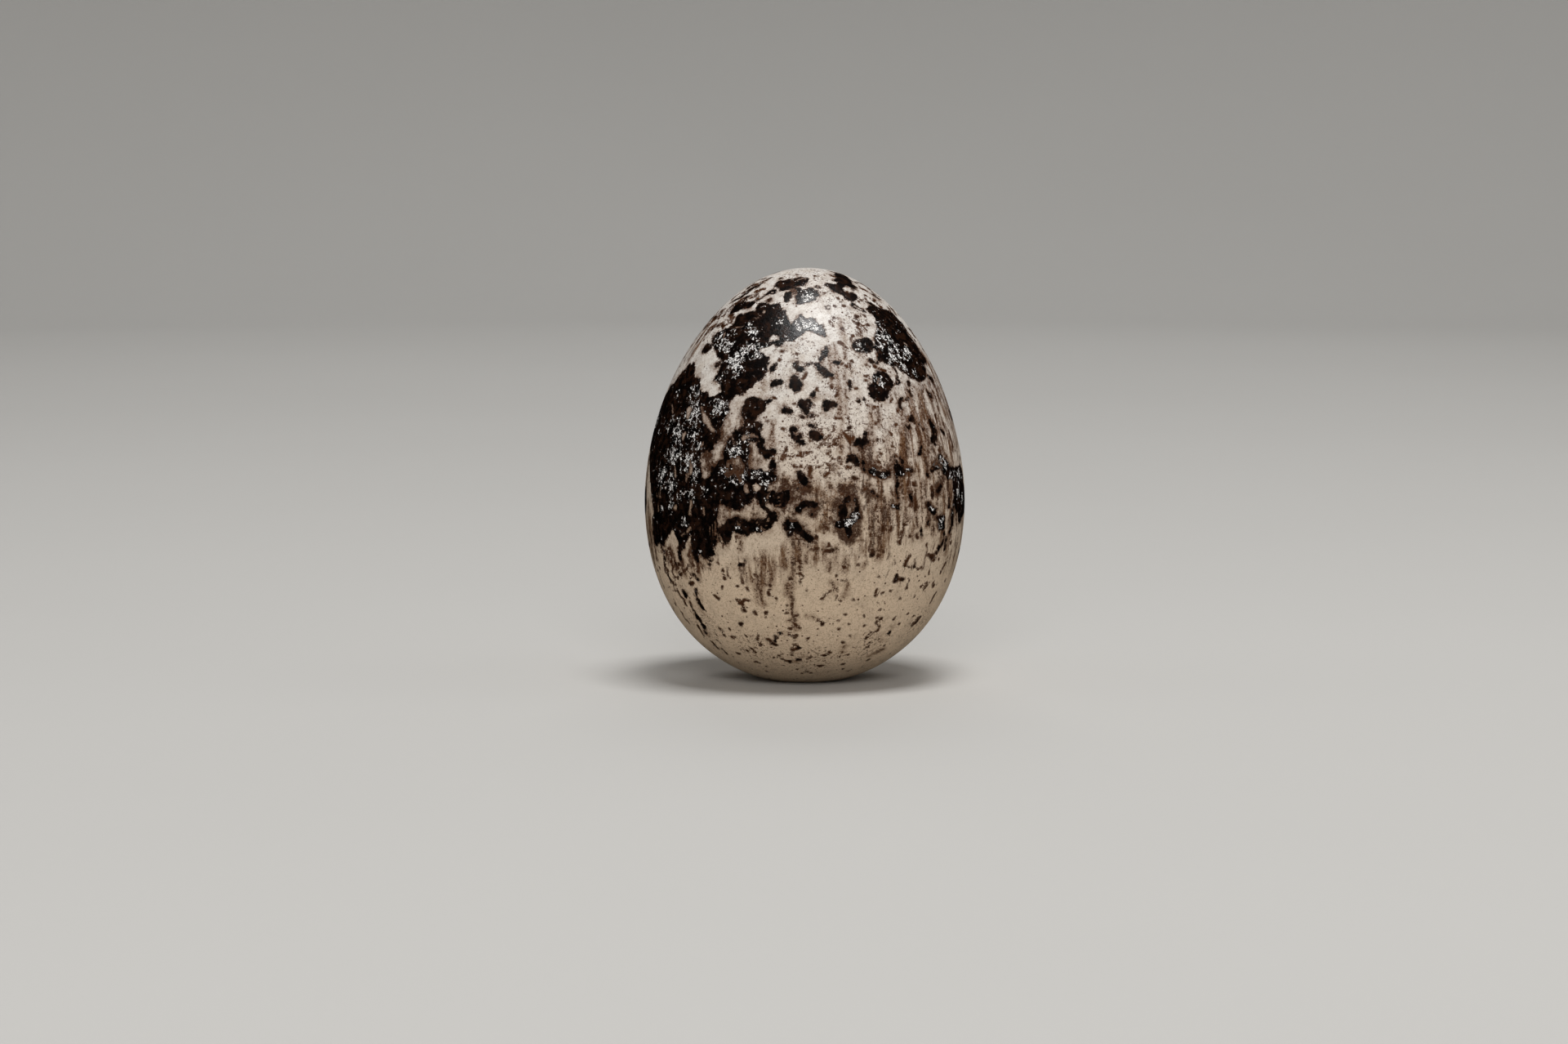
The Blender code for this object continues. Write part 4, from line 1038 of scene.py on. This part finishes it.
@dataclass(frozen=True)
class EggshellFinish:
    """Satin shell with black and brown pigment lying flush in it."""

    crown_cream: Colour = (0.66, 0.625, 0.58, 1.0)
    # the lower shell's darker, warmer cream is painted warm shade
    painted_warm_shade_cream: Colour = (0.68, 0.525, 0.37, 1.0)
    # pale flecks in the black: partly bare shell, partly painted glints
    fleck_and_glint_white: Colour = (0.90, 0.88, 0.85, 1.0)
    dun: Colour = (0.42, 0.32, 0.225, 1.0)
    tan: Colour = (0.160, 0.078, 0.033, 1.0)
    rust: Colour = (0.085, 0.036, 0.016, 1.0)
    chestnut: Colour = (0.075, 0.0260, 0.0080, 1.0)
    umber: Colour = (0.044, 0.0155, 0.0055, 1.0)
    black: Colour = (0.0022, 0.0012, 0.0009, 1.0)
    warm_black: Colour = (0.013, 0.0052, 0.0028, 1.0)
    shell_roughness: float = 0.4
    pigment_roughness: float = 0.3
    flake: float = 0.24  # how far across a pale flake is
    flake_lean: float = -0.5  # the flakes lean to the left, in radians
    flake_shape: Tuple[float, float, float] = (0.75, 0.75, 1.7)
    flake_bend: float = 2.2  # how crooked the flakes are
    flake_rarity: float = 1.06  # more makes the flakes fewer
    flake_gap: float = 0.055  # half the black line left between two flakes
    # Fields of round specks: their cell and radius in millimetres, and how many.
    freckles: Tuple[float, float, float] = (1.5, 0.17, 0.3)
    dust: Tuple[float, float, float] = (0.4, 0.09, 0.7)
    # pale pinhole dots over the black: painted glints
    pinhole_glints: Tuple[float, float, float] = (0.5, 0.06, 0.5)
    # How many millimetres across the spots of each noise are.
    cloud: float = 3.5
    patchy: float = 1.1
    powder: float = 0.12
    grit: float = 0.26
    streak: float = 0.65
    hair: float = 0.25
    crumb: float = 0.22
    blot: float = 0.9
    tint: float = 0.8
    ragged: float = 0.45
    serrated: float = 0.11
    mottle: float = 0.6
    wrinkle: float = 0.2
    crust: float = 0.13
    # Relief, which only tilts the light.
    wrinkle_strength: float = 0.5
    crust_strength: float = 0.8
    relief_depth: float = 0.03
    specular: float = 0.4
    around_scale: float = 13.0  # turns a share of a turn into millimetres at the girth
    fall_scale: float = 0.13  # draws the streaks out down the egg

    def specks(self, bench: Bench, place: Wire, cell: float, radius: float, share: float) -> Wire:
        """Scatters small round specks.

        Args:
            bench: where the nodes go.
            place: the place on the egg, in millimetres.
            cell: how far apart the specks lie, in millimetres.
            radius: the largest speck's radius, in millimetres.
            share: how many of the places hold a speck, from 0 to 1.

        Returns:
            1 inside a speck and 0 outside.
        """
        inputs = {"Vector": place, "Scale": 1 / cell, "Randomness": 1.0}
        away = bench.add("ShaderNodeTexVoronoi", {}, inputs, "Distance")
        tint = bench.add("ShaderNodeTexVoronoi", {}, inputs, "Color")
        pick = bench.add("ShaderNodeSeparateColor", {}, {"Color": tint}, "Red")
        size = bench.add("ShaderNodeSeparateColor", {}, {"Color": tint}, "Green")
        reach = (0.35 + 0.65 * size) * radius * pick.rise(1 - share, 1 - share + 0.02)
        return (reach - away * cell).rise(-0.015, 0.02)

    def thin_marks(self, bench: Bench, kind: ThinMark) -> Wire:
        """Measures the depth inside the thin marks of one kind.

        Args:
            bench: where the nodes go.
            kind: which marks.

        Returns:
            Millimetres inside the nearest mark's edge, less than nothing outside it.
        """
        offset = bench.field(kind.value + "_offset", "Vector")
        away = bench.add("ShaderNodeVectorMath", {"operation": "LENGTH"}, {0: offset}, "Value")
        return bench.field(kind.value + "_reach") - away

    def cream(self, bench: Bench, place: Wire, height: float) -> Wire:
        """Colours the bare shell: darker and warmer towards the blunt end as painted warm shade, clouded
        and powdered.

        Args:
            bench: where the nodes go.
            place: the place on the egg, in millimetres.
            height: the egg's height in millimetres.

        Returns:
            The colour.
        """
        up = bench.add("ShaderNodeSeparateXYZ", {}, {0: place}, "Z")
        cloud = bench.speckle(place, self.cloud, 4.0, 0.6)
        patchy = bench.speckle(place, self.patchy, 3.0, 0.6)
        powder = bench.speckle(place, self.powder, 3.0, 0.75)
        grit = bench.speckle(place, self.grit, 3.0, 0.8)
        # Painted warm shade: the shell turns darker and warmer towards the bottom.
        low = (1 - (up + (cloud - 0.5) * 6.0) * (1 / height)).rise(0.15, 0.8)
        cream = bench.blend(low, self.crown_cream, self.painted_warm_shade_cream)
        cream = bench.blend(patchy.rise(0.45, 0.75) * 0.4, cream, self.dun)
        cream = bench.blend(grit.rise(0.54, 0.62) * 0.3, cream, self.tan)
        return bench.blend(powder.rise(0.52, 0.62) * 0.36, cream, self.tan)

    def brown_ground(self, bench: Bench, place: Wire) -> BrownGround:
        """Makes the noises that the brown is drawn with, some of them drawn out down the egg.

        Args:
            bench: where the nodes go.
            place: the place on the egg, in millimetres.

        Returns:
            The noises, and the fields that the mesh carries.
        """
        flat = bench.vector("MULTIPLY", {0: place, 1: (1.0, 1.0, 0.0)})
        around = bench.vector("NORMALIZE", {0: flat})
        down = bench.vector("MULTIPLY", {0: place, 1: (0.0, 0.0, self.fall_scale)})
        fall = bench.vector("MULTIPLY_ADD", {0: around, 1: (self.around_scale,) * 3, 2: down})
        return BrownGround(
            streak=bench.speckle(fall, self.streak, 4.0, 0.65),
            hair=bench.speckle(fall, self.hair, 3.0, 0.65),
            crumb=bench.speckle(place, self.crumb, 4.0, 0.75),
            blot=bench.speckle(place, self.blot, 4.0, 0.65),
            black=bench.field("black_depth"),
            run=bench.field("brown_depth"),
            smear=bench.field("smear"),
            wash=bench.field("brown_wash"),
        )

    def soft_brown(self, on: BrownGround) -> Wire:
        """Works out the thin brown: veils, washes, halos and curtains of streaks.

        Args:
            on: the noises and fields.

        Returns:
            Its share of the colour, from 0 to 1.
        """
        veil = (on.run + (on.crumb - 0.5) * 0.5).rise(-0.45, 0.15) * (on.streak * 1.8 - 0.2)
        pooled = on.wash * 1.4 + (on.blot - 0.5) * 3.0 + (on.streak - 0.5) * 2.0 - 0.62
        halo = on.black.rise(-1.0, 0.0) * (on.blot.rise(0.42, 0.66) * 0.6 + on.wash * 0.6)
        curtain = (on.streak.rise(0.46, 0.6) * 0.95).most(on.hair.rise(0.57, 0.67) * 0.6)
        under = on.black.rise(0.0, 0.3) * 0.6
        return veil.most(pooled.rise(0.0, 0.8) * 0.8).most(halo).most(on.smear * curtain).most(under)

    def dark_brown(self, bench: Bench, on: BrownGround) -> Wire:
        """Works out the thick brown: runs, pools, shade, grains, beads and drips.

        Args:
            bench: where the nodes go.
            on: the noises and fields.

        Returns:
            Its share of the colour, from 0 to 1.
        """
        core = (on.run + (on.crumb - 0.5) * 1.2).rise(-0.05, 0.12) * (on.streak * 1.1 + 0.4)
        core = core * on.blot.rise(0.15, 0.45)
        near = on.black.rise(-0.9, 0.0)
        pool = on.wash * (near * 1.1 + 0.7) + (on.blot - 0.5) * 3.6 + (on.streak - 0.5) * 1.8
        pool = (pool + (on.crumb - 0.5) * 0.4 - 0.76).rise(0.0, 0.8) * 0.95
        shade = (on.black + (on.crumb - 0.5) * 0.7).rise(-0.4, 0.0) * (on.wash * 1.1 + on.smear * 0.5)
        shade = shade * on.blot.rise(0.2, 0.6)
        grain = (on.crumb + bench.field("grain") * 0.11 - 0.66).rise(0.0, 0.04) * 0.85
        bead = on.hair * 0.5 + on.streak * 0.5 + (on.crumb - 0.5) * 0.7 - 0.56
        bead = on.smear * bead.rise(0.0, 0.06) * 0.95
        inside = self.thin_marks(bench, ThinMark.BROWN) + (on.crumb - 0.5) * 0.3
        drip = inside.rise(-0.1, 0.08) * (inside * 4.0 + 0.55)
        return core.most(pool).most(grain).most(drip).most(bead).most(shade).least(1.0)

    def stained(self, bench: Bench, place: Wire, cream: Wire) -> Wire:
        """Lays the brown over the shell, with freckles and dust on top.

        Args:
            bench: where the nodes go.
            place: the place on the egg, in millimetres.
            cream: the bare shell's colour.

        Returns:
            The colour.
        """
        on = self.brown_ground(bench, place)
        uneven = (bench.speckle(place, self.powder, 3.0, 0.7) - 0.5) * 2.0 + 1.0
        brown = bench.blend((on.wash * 1.4).most(on.run.rise(-0.05, 0.2)), self.chestnut, self.umber)
        stained = bench.blend(self.soft_brown(on) * uneven, cream, self.tan)
        stained = bench.blend(self.dark_brown(bench, on) * uneven, stained, brown)
        tint = bench.speckle(place, self.tint, 1.0, 0.5)
        freckle = self.specks(bench, place, *self.freckles) * tint.rise(0.25, 0.5)
        dusty = tint.rise(0.25, 0.5).most(bench.field("grain"))
        dust = self.specks(bench, place, *self.dust) * dusty
        return bench.blend(dust.most(freckle), stained, self.chestnut)

    def flecks(self, bench: Bench, place: Wire, mottle: Wire) -> Wire:
        """Chips the pigment away in small crooked flakes where the flecks lie: pale flakes that are
        partly bare shell and partly painted glints.

        Args:
            bench: where the nodes go.
            place: the place on the egg, in millimetres.
            mottle: slow noise that makes the flakes denser here and rarer there.

        Returns:
            1 inside a flake and 0 outside.
        """
        waves = {"Vector": place, "Scale": 1.4 / self.flake, "Detail": 2.0}
        stir = bench.add("ShaderNodeTexNoise", {}, waves, "Color")
        bent = bench.vector("MULTIPLY_ADD", {0: stir, 1: (self.flake * self.flake_bend,) * 3, 2: place})
        lean = {"Vector": bent, "Rotation": (0.0, self.flake_lean, 0.0), "Scale": self.flake_shape}
        bent = bench.add("ShaderNodeMapping", {"vector_type": "TEXTURE"}, lean)
        inputs = {"Vector": bent, "Scale": 1 / self.flake}
        rim = bench.add("ShaderNodeTexVoronoi", {"feature": "DISTANCE_TO_EDGE"}, inputs, "Distance")
        tint = bench.add("ShaderNodeTexVoronoi", {}, inputs, "Color")
        pick = bench.add("ShaderNodeSeparateColor", {}, {"Color": tint}, "Red")
        zone = bench.field("fleck_and_glint")
        chosen = (pick + zone * 0.6 + (mottle - 0.5) * 2.6 - self.flake_rarity).rise(0.0, 0.03)
        flakes = chosen * (rim * self.flake - (self.flake_gap - zone * 0.04)).rise(0.0, 0.02)
        # Pale dots over the black: painted glints.
        pinhole_glints = self.specks(bench, place, *self.pinhole_glints)
        return flakes.most(pinhole_glints * mottle.rise(0.42, 0.6) * 0.9)

    def pigment(self, bench: Bench, place: Wire) -> Tuple[Wire, Wire]:
        """Measures the black: patches and spots, with the bare gaps and painted glint dots taken out.

        Args:
            bench: where the nodes go.
            place: the place on the egg, in millimetres.

        Returns:
            The depth inside the black in millimetres, and 1 where a mark is a small one.
        """
        edge = (bench.speckle(place, self.ragged, 4.0, 0.75) - 0.5) * 0.7
        fine = (bench.speckle(place, self.serrated, 2.0, 0.6) - 0.5) * 0.3
        depth = bench.field("black_depth") + edge + fine
        depth = depth.least(fine - self.thin_marks(bench, ThinMark.BARE_AND_GLINT))
        dots = self.thin_marks(bench, ThinMark.BLACK) + edge * 0.25 + fine + 0.025
        small = (dots - depth).rise(0.0, 0.02) * (1 - bench.field("black_reach").rise(0.09, 0.2))
        return depth.most(dots), small

    def ink(self, bench: Bench, mottle: Wire, depth: Wire, small: Wire) -> Wire:
        """Colours the black: warmer in clouds, browner in the small marks.

        Args:
            bench: where the nodes go.
            mottle: slow noise.
            depth: the depth inside the black, in millimetres.
            small: 1 where a mark is a small one.

        Returns:
            The colour.
        """
        ink = bench.blend(mottle.rise(0.42, 0.6), self.black, self.warm_black)
        ink = bench.blend(mottle.rise(0.5, 0.62) * depth.rise(0.06, 0.2) * 0.25, ink, self.umber)
        return bench.blend(small * 0.9, ink, self.chestnut)

    def relief(self, bench: Bench, place: Wire, matt: Wire) -> Wire:
        """Tilts the light on the shell's faint wrinkles and the pigment's crust.

        Args:
            bench: where the nodes go.
            place: the place on the egg, in millimetres.
            matt: 1 where pigment lies.

        Returns:
            The tilted normal.
        """
        wrinkles = {
            "Strength": self.wrinkle_strength,
            "Distance": self.relief_depth * MM,
            "Height": bench.speckle(place, self.wrinkle, 3.0, 0.6),
        }
        crust = {
            "Strength": self.crust_strength,
            "Distance": self.relief_depth * MM,
            "Height": bench.speckle(place, self.crust, 2.0, 0.6) * matt,
            "Normal": bench.add("ShaderNodeBump", {}, wrinkles),
        }
        return bench.add("ShaderNodeBump", {}, crust)

    def material(self, height: float) -> bpy.types.Material:
        """Builds the eggshell's material.

        Args:
            height: the egg's height in millimetres.

        Returns:
            The material.
        """
        bench = Bench(SLOT)
        spot = bench.add("ShaderNodeTexCoord", {}, {}, "Object")
        place = bench.vector("SCALE", {0: spot, "Scale": 1 / MM})
        ground = self.stained(bench, place, self.cream(bench, place, height))
        depth, small = self.pigment(bench, place)
        solid = depth.rise(-0.01, 0.035)
        mottle = bench.speckle(place, self.mottle, 4.0, 0.7)
        ink = self.ink(bench, mottle, depth, small)
        # Pale flecks in the black: partly bare shell, partly painted glints.
        pale = self.flecks(bench, place, mottle) * depth.rise(0.02, 0.1)
        ground = bench.blend(depth.rise(-0.13, 0.0) * 0.85, ground, self.rust)
        matt = solid * (1 - pale)
        surface = {
            "Base Color": bench.blend(pale, bench.blend(solid, ground, ink), self.fleck_and_glint_white),
            "Roughness": self.shell_roughness + matt * (self.pigment_roughness - self.shell_roughness),
            "Normal": self.relief(bench, place, matt),
            "Specular IOR Level": self.specular,
        }
        shader = bench.add("ShaderNodeBsdfPrincipled", {}, surface)
        bench.add("ShaderNodeOutputMaterial", {}, {"Surface": shader})
        return bench.material


@dataclass(frozen=True)
class StageFinish:
    """Plain pale paint with a trace of unevenness."""

    light: Colour = (0.50, 0.49, 0.47, 1.0)
    dark: Colour = (0.475, 0.465, 0.445, 1.0)
    cloud: float = 0.12  # metres across the paint's clouds
    roughness: float = 0.8

    def material(self) -> bpy.types.Material:
        """Builds the floor's material.

        Returns:
            The material.
        """
        bench = Bench("studio_paint")
        spot = bench.add("ShaderNodeTexCoord", {}, {}, "Object")
        cloud = bench.speckle(spot, self.cloud, 3.0, 0.5)
        colour = bench.blend(cloud, self.light, self.dark)
        surface = {"Base Color": colour, "Roughness": self.roughness}
        shader = bench.add("ShaderNodeBsdfPrincipled", {}, surface)
        bench.add("ShaderNodeOutputMaterial", {}, {"Surface": shader})
        return bench.material


@dataclass
class Egg:
    """The whole egg: one shell with its markings."""

    form: EggForm
    finish: EggshellFinish

    def build(self) -> bpy.types.Object:
        """Makes the shell's mesh, its fields and its finish.

        Returns:
            The shell as an object of the scene.
        """
        perfect, quads = self.form.surface()
        mesh = bpy.data.meshes.new("shell")
        mesh.from_pydata((self.form.weathered(perfect) * MM).tolist(), [], quads.tolist())
        mesh.shade_smooth()
        for name, values in Markings(self.form, perfect).fields().items():
            kind, key = ("FLOAT_VECTOR", "vector") if values.ndim == 2 else ("FLOAT", "value")
            attribute = mesh.attributes.new(name, kind, "POINT")
            attribute.data.foreach_set(key, values.astype(np.float32).ravel())
        mesh.materials.append(self.finish.material(self.form.height))
        shell = bpy.data.objects.new("shell", mesh)
        bpy.context.scene.collection.objects.link(shell)
        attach(shell, "root")
        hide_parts(NODE)
        log.info("shell: %d points, %d quads", len(perfect), len(quads))
        return shell


@dataclass(frozen=True)
class Softbox:
    """One soft light that faces the egg."""

    name: str
    azimuth: float  # degrees round from the camera's side, to the right
    elevation: float  # degrees above the floor
    distance: float  # metres from the egg
    size: Tuple[float, float]  # width and height in metres
    power: float  # watts
    glints: bool = False  # whether it shows in glossy reflections
    aim: float = 0.017  # metres up the egg

    def hang(self) -> None:
        """Adds the light to the scene."""
        data = bpy.data.lights.new(self.name, "AREA")
        data.shape = "RECTANGLE"
        data.size, data.size_y = self.size
        data.energy = self.power
        lamp = bpy.data.objects.new(self.name, data)
        lamp.visible_glossy = self.glints
        turn, lift = math.radians(self.azimuth), math.radians(self.elevation)
        level = math.cos(lift)
        way = Vector((math.sin(turn) * level, -math.cos(turn) * level, math.sin(lift)))
        lamp.location = way * self.distance + Vector((0, 0, self.aim))
        lamp.rotation_euler = way.to_track_quat("Z", "Y").to_euler()
        bpy.context.scene.collection.objects.link(lamp)


@dataclass(frozen=True)
class Studio:
    """A round pale floor that curves up into a wall, with soft lights over it."""

    floor_radius: float = 0.55
    curve: float = 0.35
    wall: float = 1.1
    turns: int = 96
    curve_steps: int = 24
    room_colour: Colour = (1.0, 0.98, 0.95, 1.0)
    room_strength: float = 0.09
    softboxes: Tuple[Softbox, ...] = (
        Softbox("top_softbox", 38, 80, 0.6, (0.26, 0.2), 2.9, glints=True),
        Softbox("front_softbox", 0, 30, 0.75, (0.4, 0.3), 2.15),
        Softbox("left_softbox", -90, 35, 0.7, (0.3, 0.5), 0.2),
        Softbox("right_softbox", 90, 35, 0.7, (0.3, 0.5), 0.3),
        Softbox("back_softbox", 180, 38, 0.75, (0.4, 0.3), 1.2),
    )

    def floor(self) -> bpy.types.Object:
        """Turns the floor, its curve and the wall as one sheet.

        Returns:
            The sheet as an object of the scene.
        """
        bend = np.linspace(0, math.pi / 2, self.curve_steps)
        radii = [0.0, self.floor_radius / 2, *(self.floor_radius + self.curve * np.sin(bend))]
        heights = [0.0, 0.0, *(self.curve * (1 - np.cos(bend)))]
        radii.append(radii[-1])
        heights.append(self.wall)
        turn = np.arange(self.turns) / self.turns * math.tau
        points = [(r * math.cos(a), r * math.sin(a), z) for r, z in zip(radii, heights) for a in turn]
        quads = []
        for ring in range(0, self.turns * (len(radii) - 1), self.turns):
            for here in range(self.turns):
                there = (here + 1) % self.turns
                above = ring + self.turns
                quads.append((ring + here, ring + there, above + there, above + here))
        mesh = bpy.data.meshes.new("studio_floor")
        mesh.from_pydata(points, [], quads)
        mesh.shade_smooth()
        mesh.materials.append(StageFinish().material())
        sheet = bpy.data.objects.new("studio_floor", mesh)
        sheet.visible_glossy = False
        bpy.context.scene.collection.objects.link(sheet)
        return sheet

    def room(self) -> None:
        """Sets the even light of the room, which glossy reflections don't show."""
        world = bpy.data.worlds.new("room")
        world.use_nodes = True
        background = world.node_tree.nodes["Background"]
        background.inputs["Color"].default_value = self.room_colour
        background.inputs["Strength"].default_value = self.room_strength
        world.cycles_visibility.glossy = False
        bpy.context.scene.world = world
        bpy.context.scene.view_settings.view_transform = "Standard"

    def build(self) -> None:
        """Builds the floor, the lights and the even light of the room."""
        self.floor()
        for softbox in self.softboxes:
            softbox.hang()
        self.room()
        log.info("studio: floor and %d soft lights", len(self.softboxes))


@dataclass(frozen=True)
class Viewpoint:
    """The camera, set by where the egg stands in the 1920 by 1278 photograph."""

    picture: Tuple[int, int] = (1920, 1278)
    egg_middle: Tuple[float, float] = (985.3, 579.0)
    pixels_per_mm: float = 15.09
    elevation: float = 5.0
    lens: float = 100.0
    sensor: float = 36.0
    nearest: float = 0.01  # metres in front of which nothing shows

    def build(self, height: float) -> None:
        """Makes the scene's camera.

        Args:
            height: the egg's height in millimetres.
        """
        focal = self.picture[0] * self.lens / self.sensor
        distance = focal / self.pixels_per_mm * MM
        lift = math.radians(self.elevation)
        middle = Vector((0, 0, height * MM / 2))
        back = Vector((0, -math.cos(lift), math.sin(lift)))
        up = Vector((1, 0, 0)).cross(-back)
        right = (self.egg_middle[0] - self.picture[0] / 2) / focal * distance
        below = (self.egg_middle[1] - self.picture[1] / 2) / focal * distance
        aim = middle - Vector((1, 0, 0)) * right + up * below
        data = bpy.data.cameras.new("camera")
        data.lens, data.sensor_width = self.lens, self.sensor
        data.clip_start = self.nearest
        camera = bpy.data.objects.new("camera", data)
        camera.location = middle + back * distance
        camera.rotation_euler = (aim - camera.location).to_track_quat("-Z", "Y").to_euler()
        bpy.context.scene.collection.objects.link(camera)
        bpy.context.scene.camera = camera
        log.info("camera: %.0f mm from the egg", distance / MM)


def main() -> None:
    """Builds the egg, the studio and the camera."""
    logging.basicConfig(level=logging.INFO, format="%(message)s")
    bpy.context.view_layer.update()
    low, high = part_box(NODE)
    size = (high - low) / MM
    form = EggForm(breadth=min(size.x, size.y), height=size.z)
    Egg(form, EggshellFinish()).build()
    Studio().build()
    Viewpoint().build(form.height)


if __name__ == "__main__":
    main()
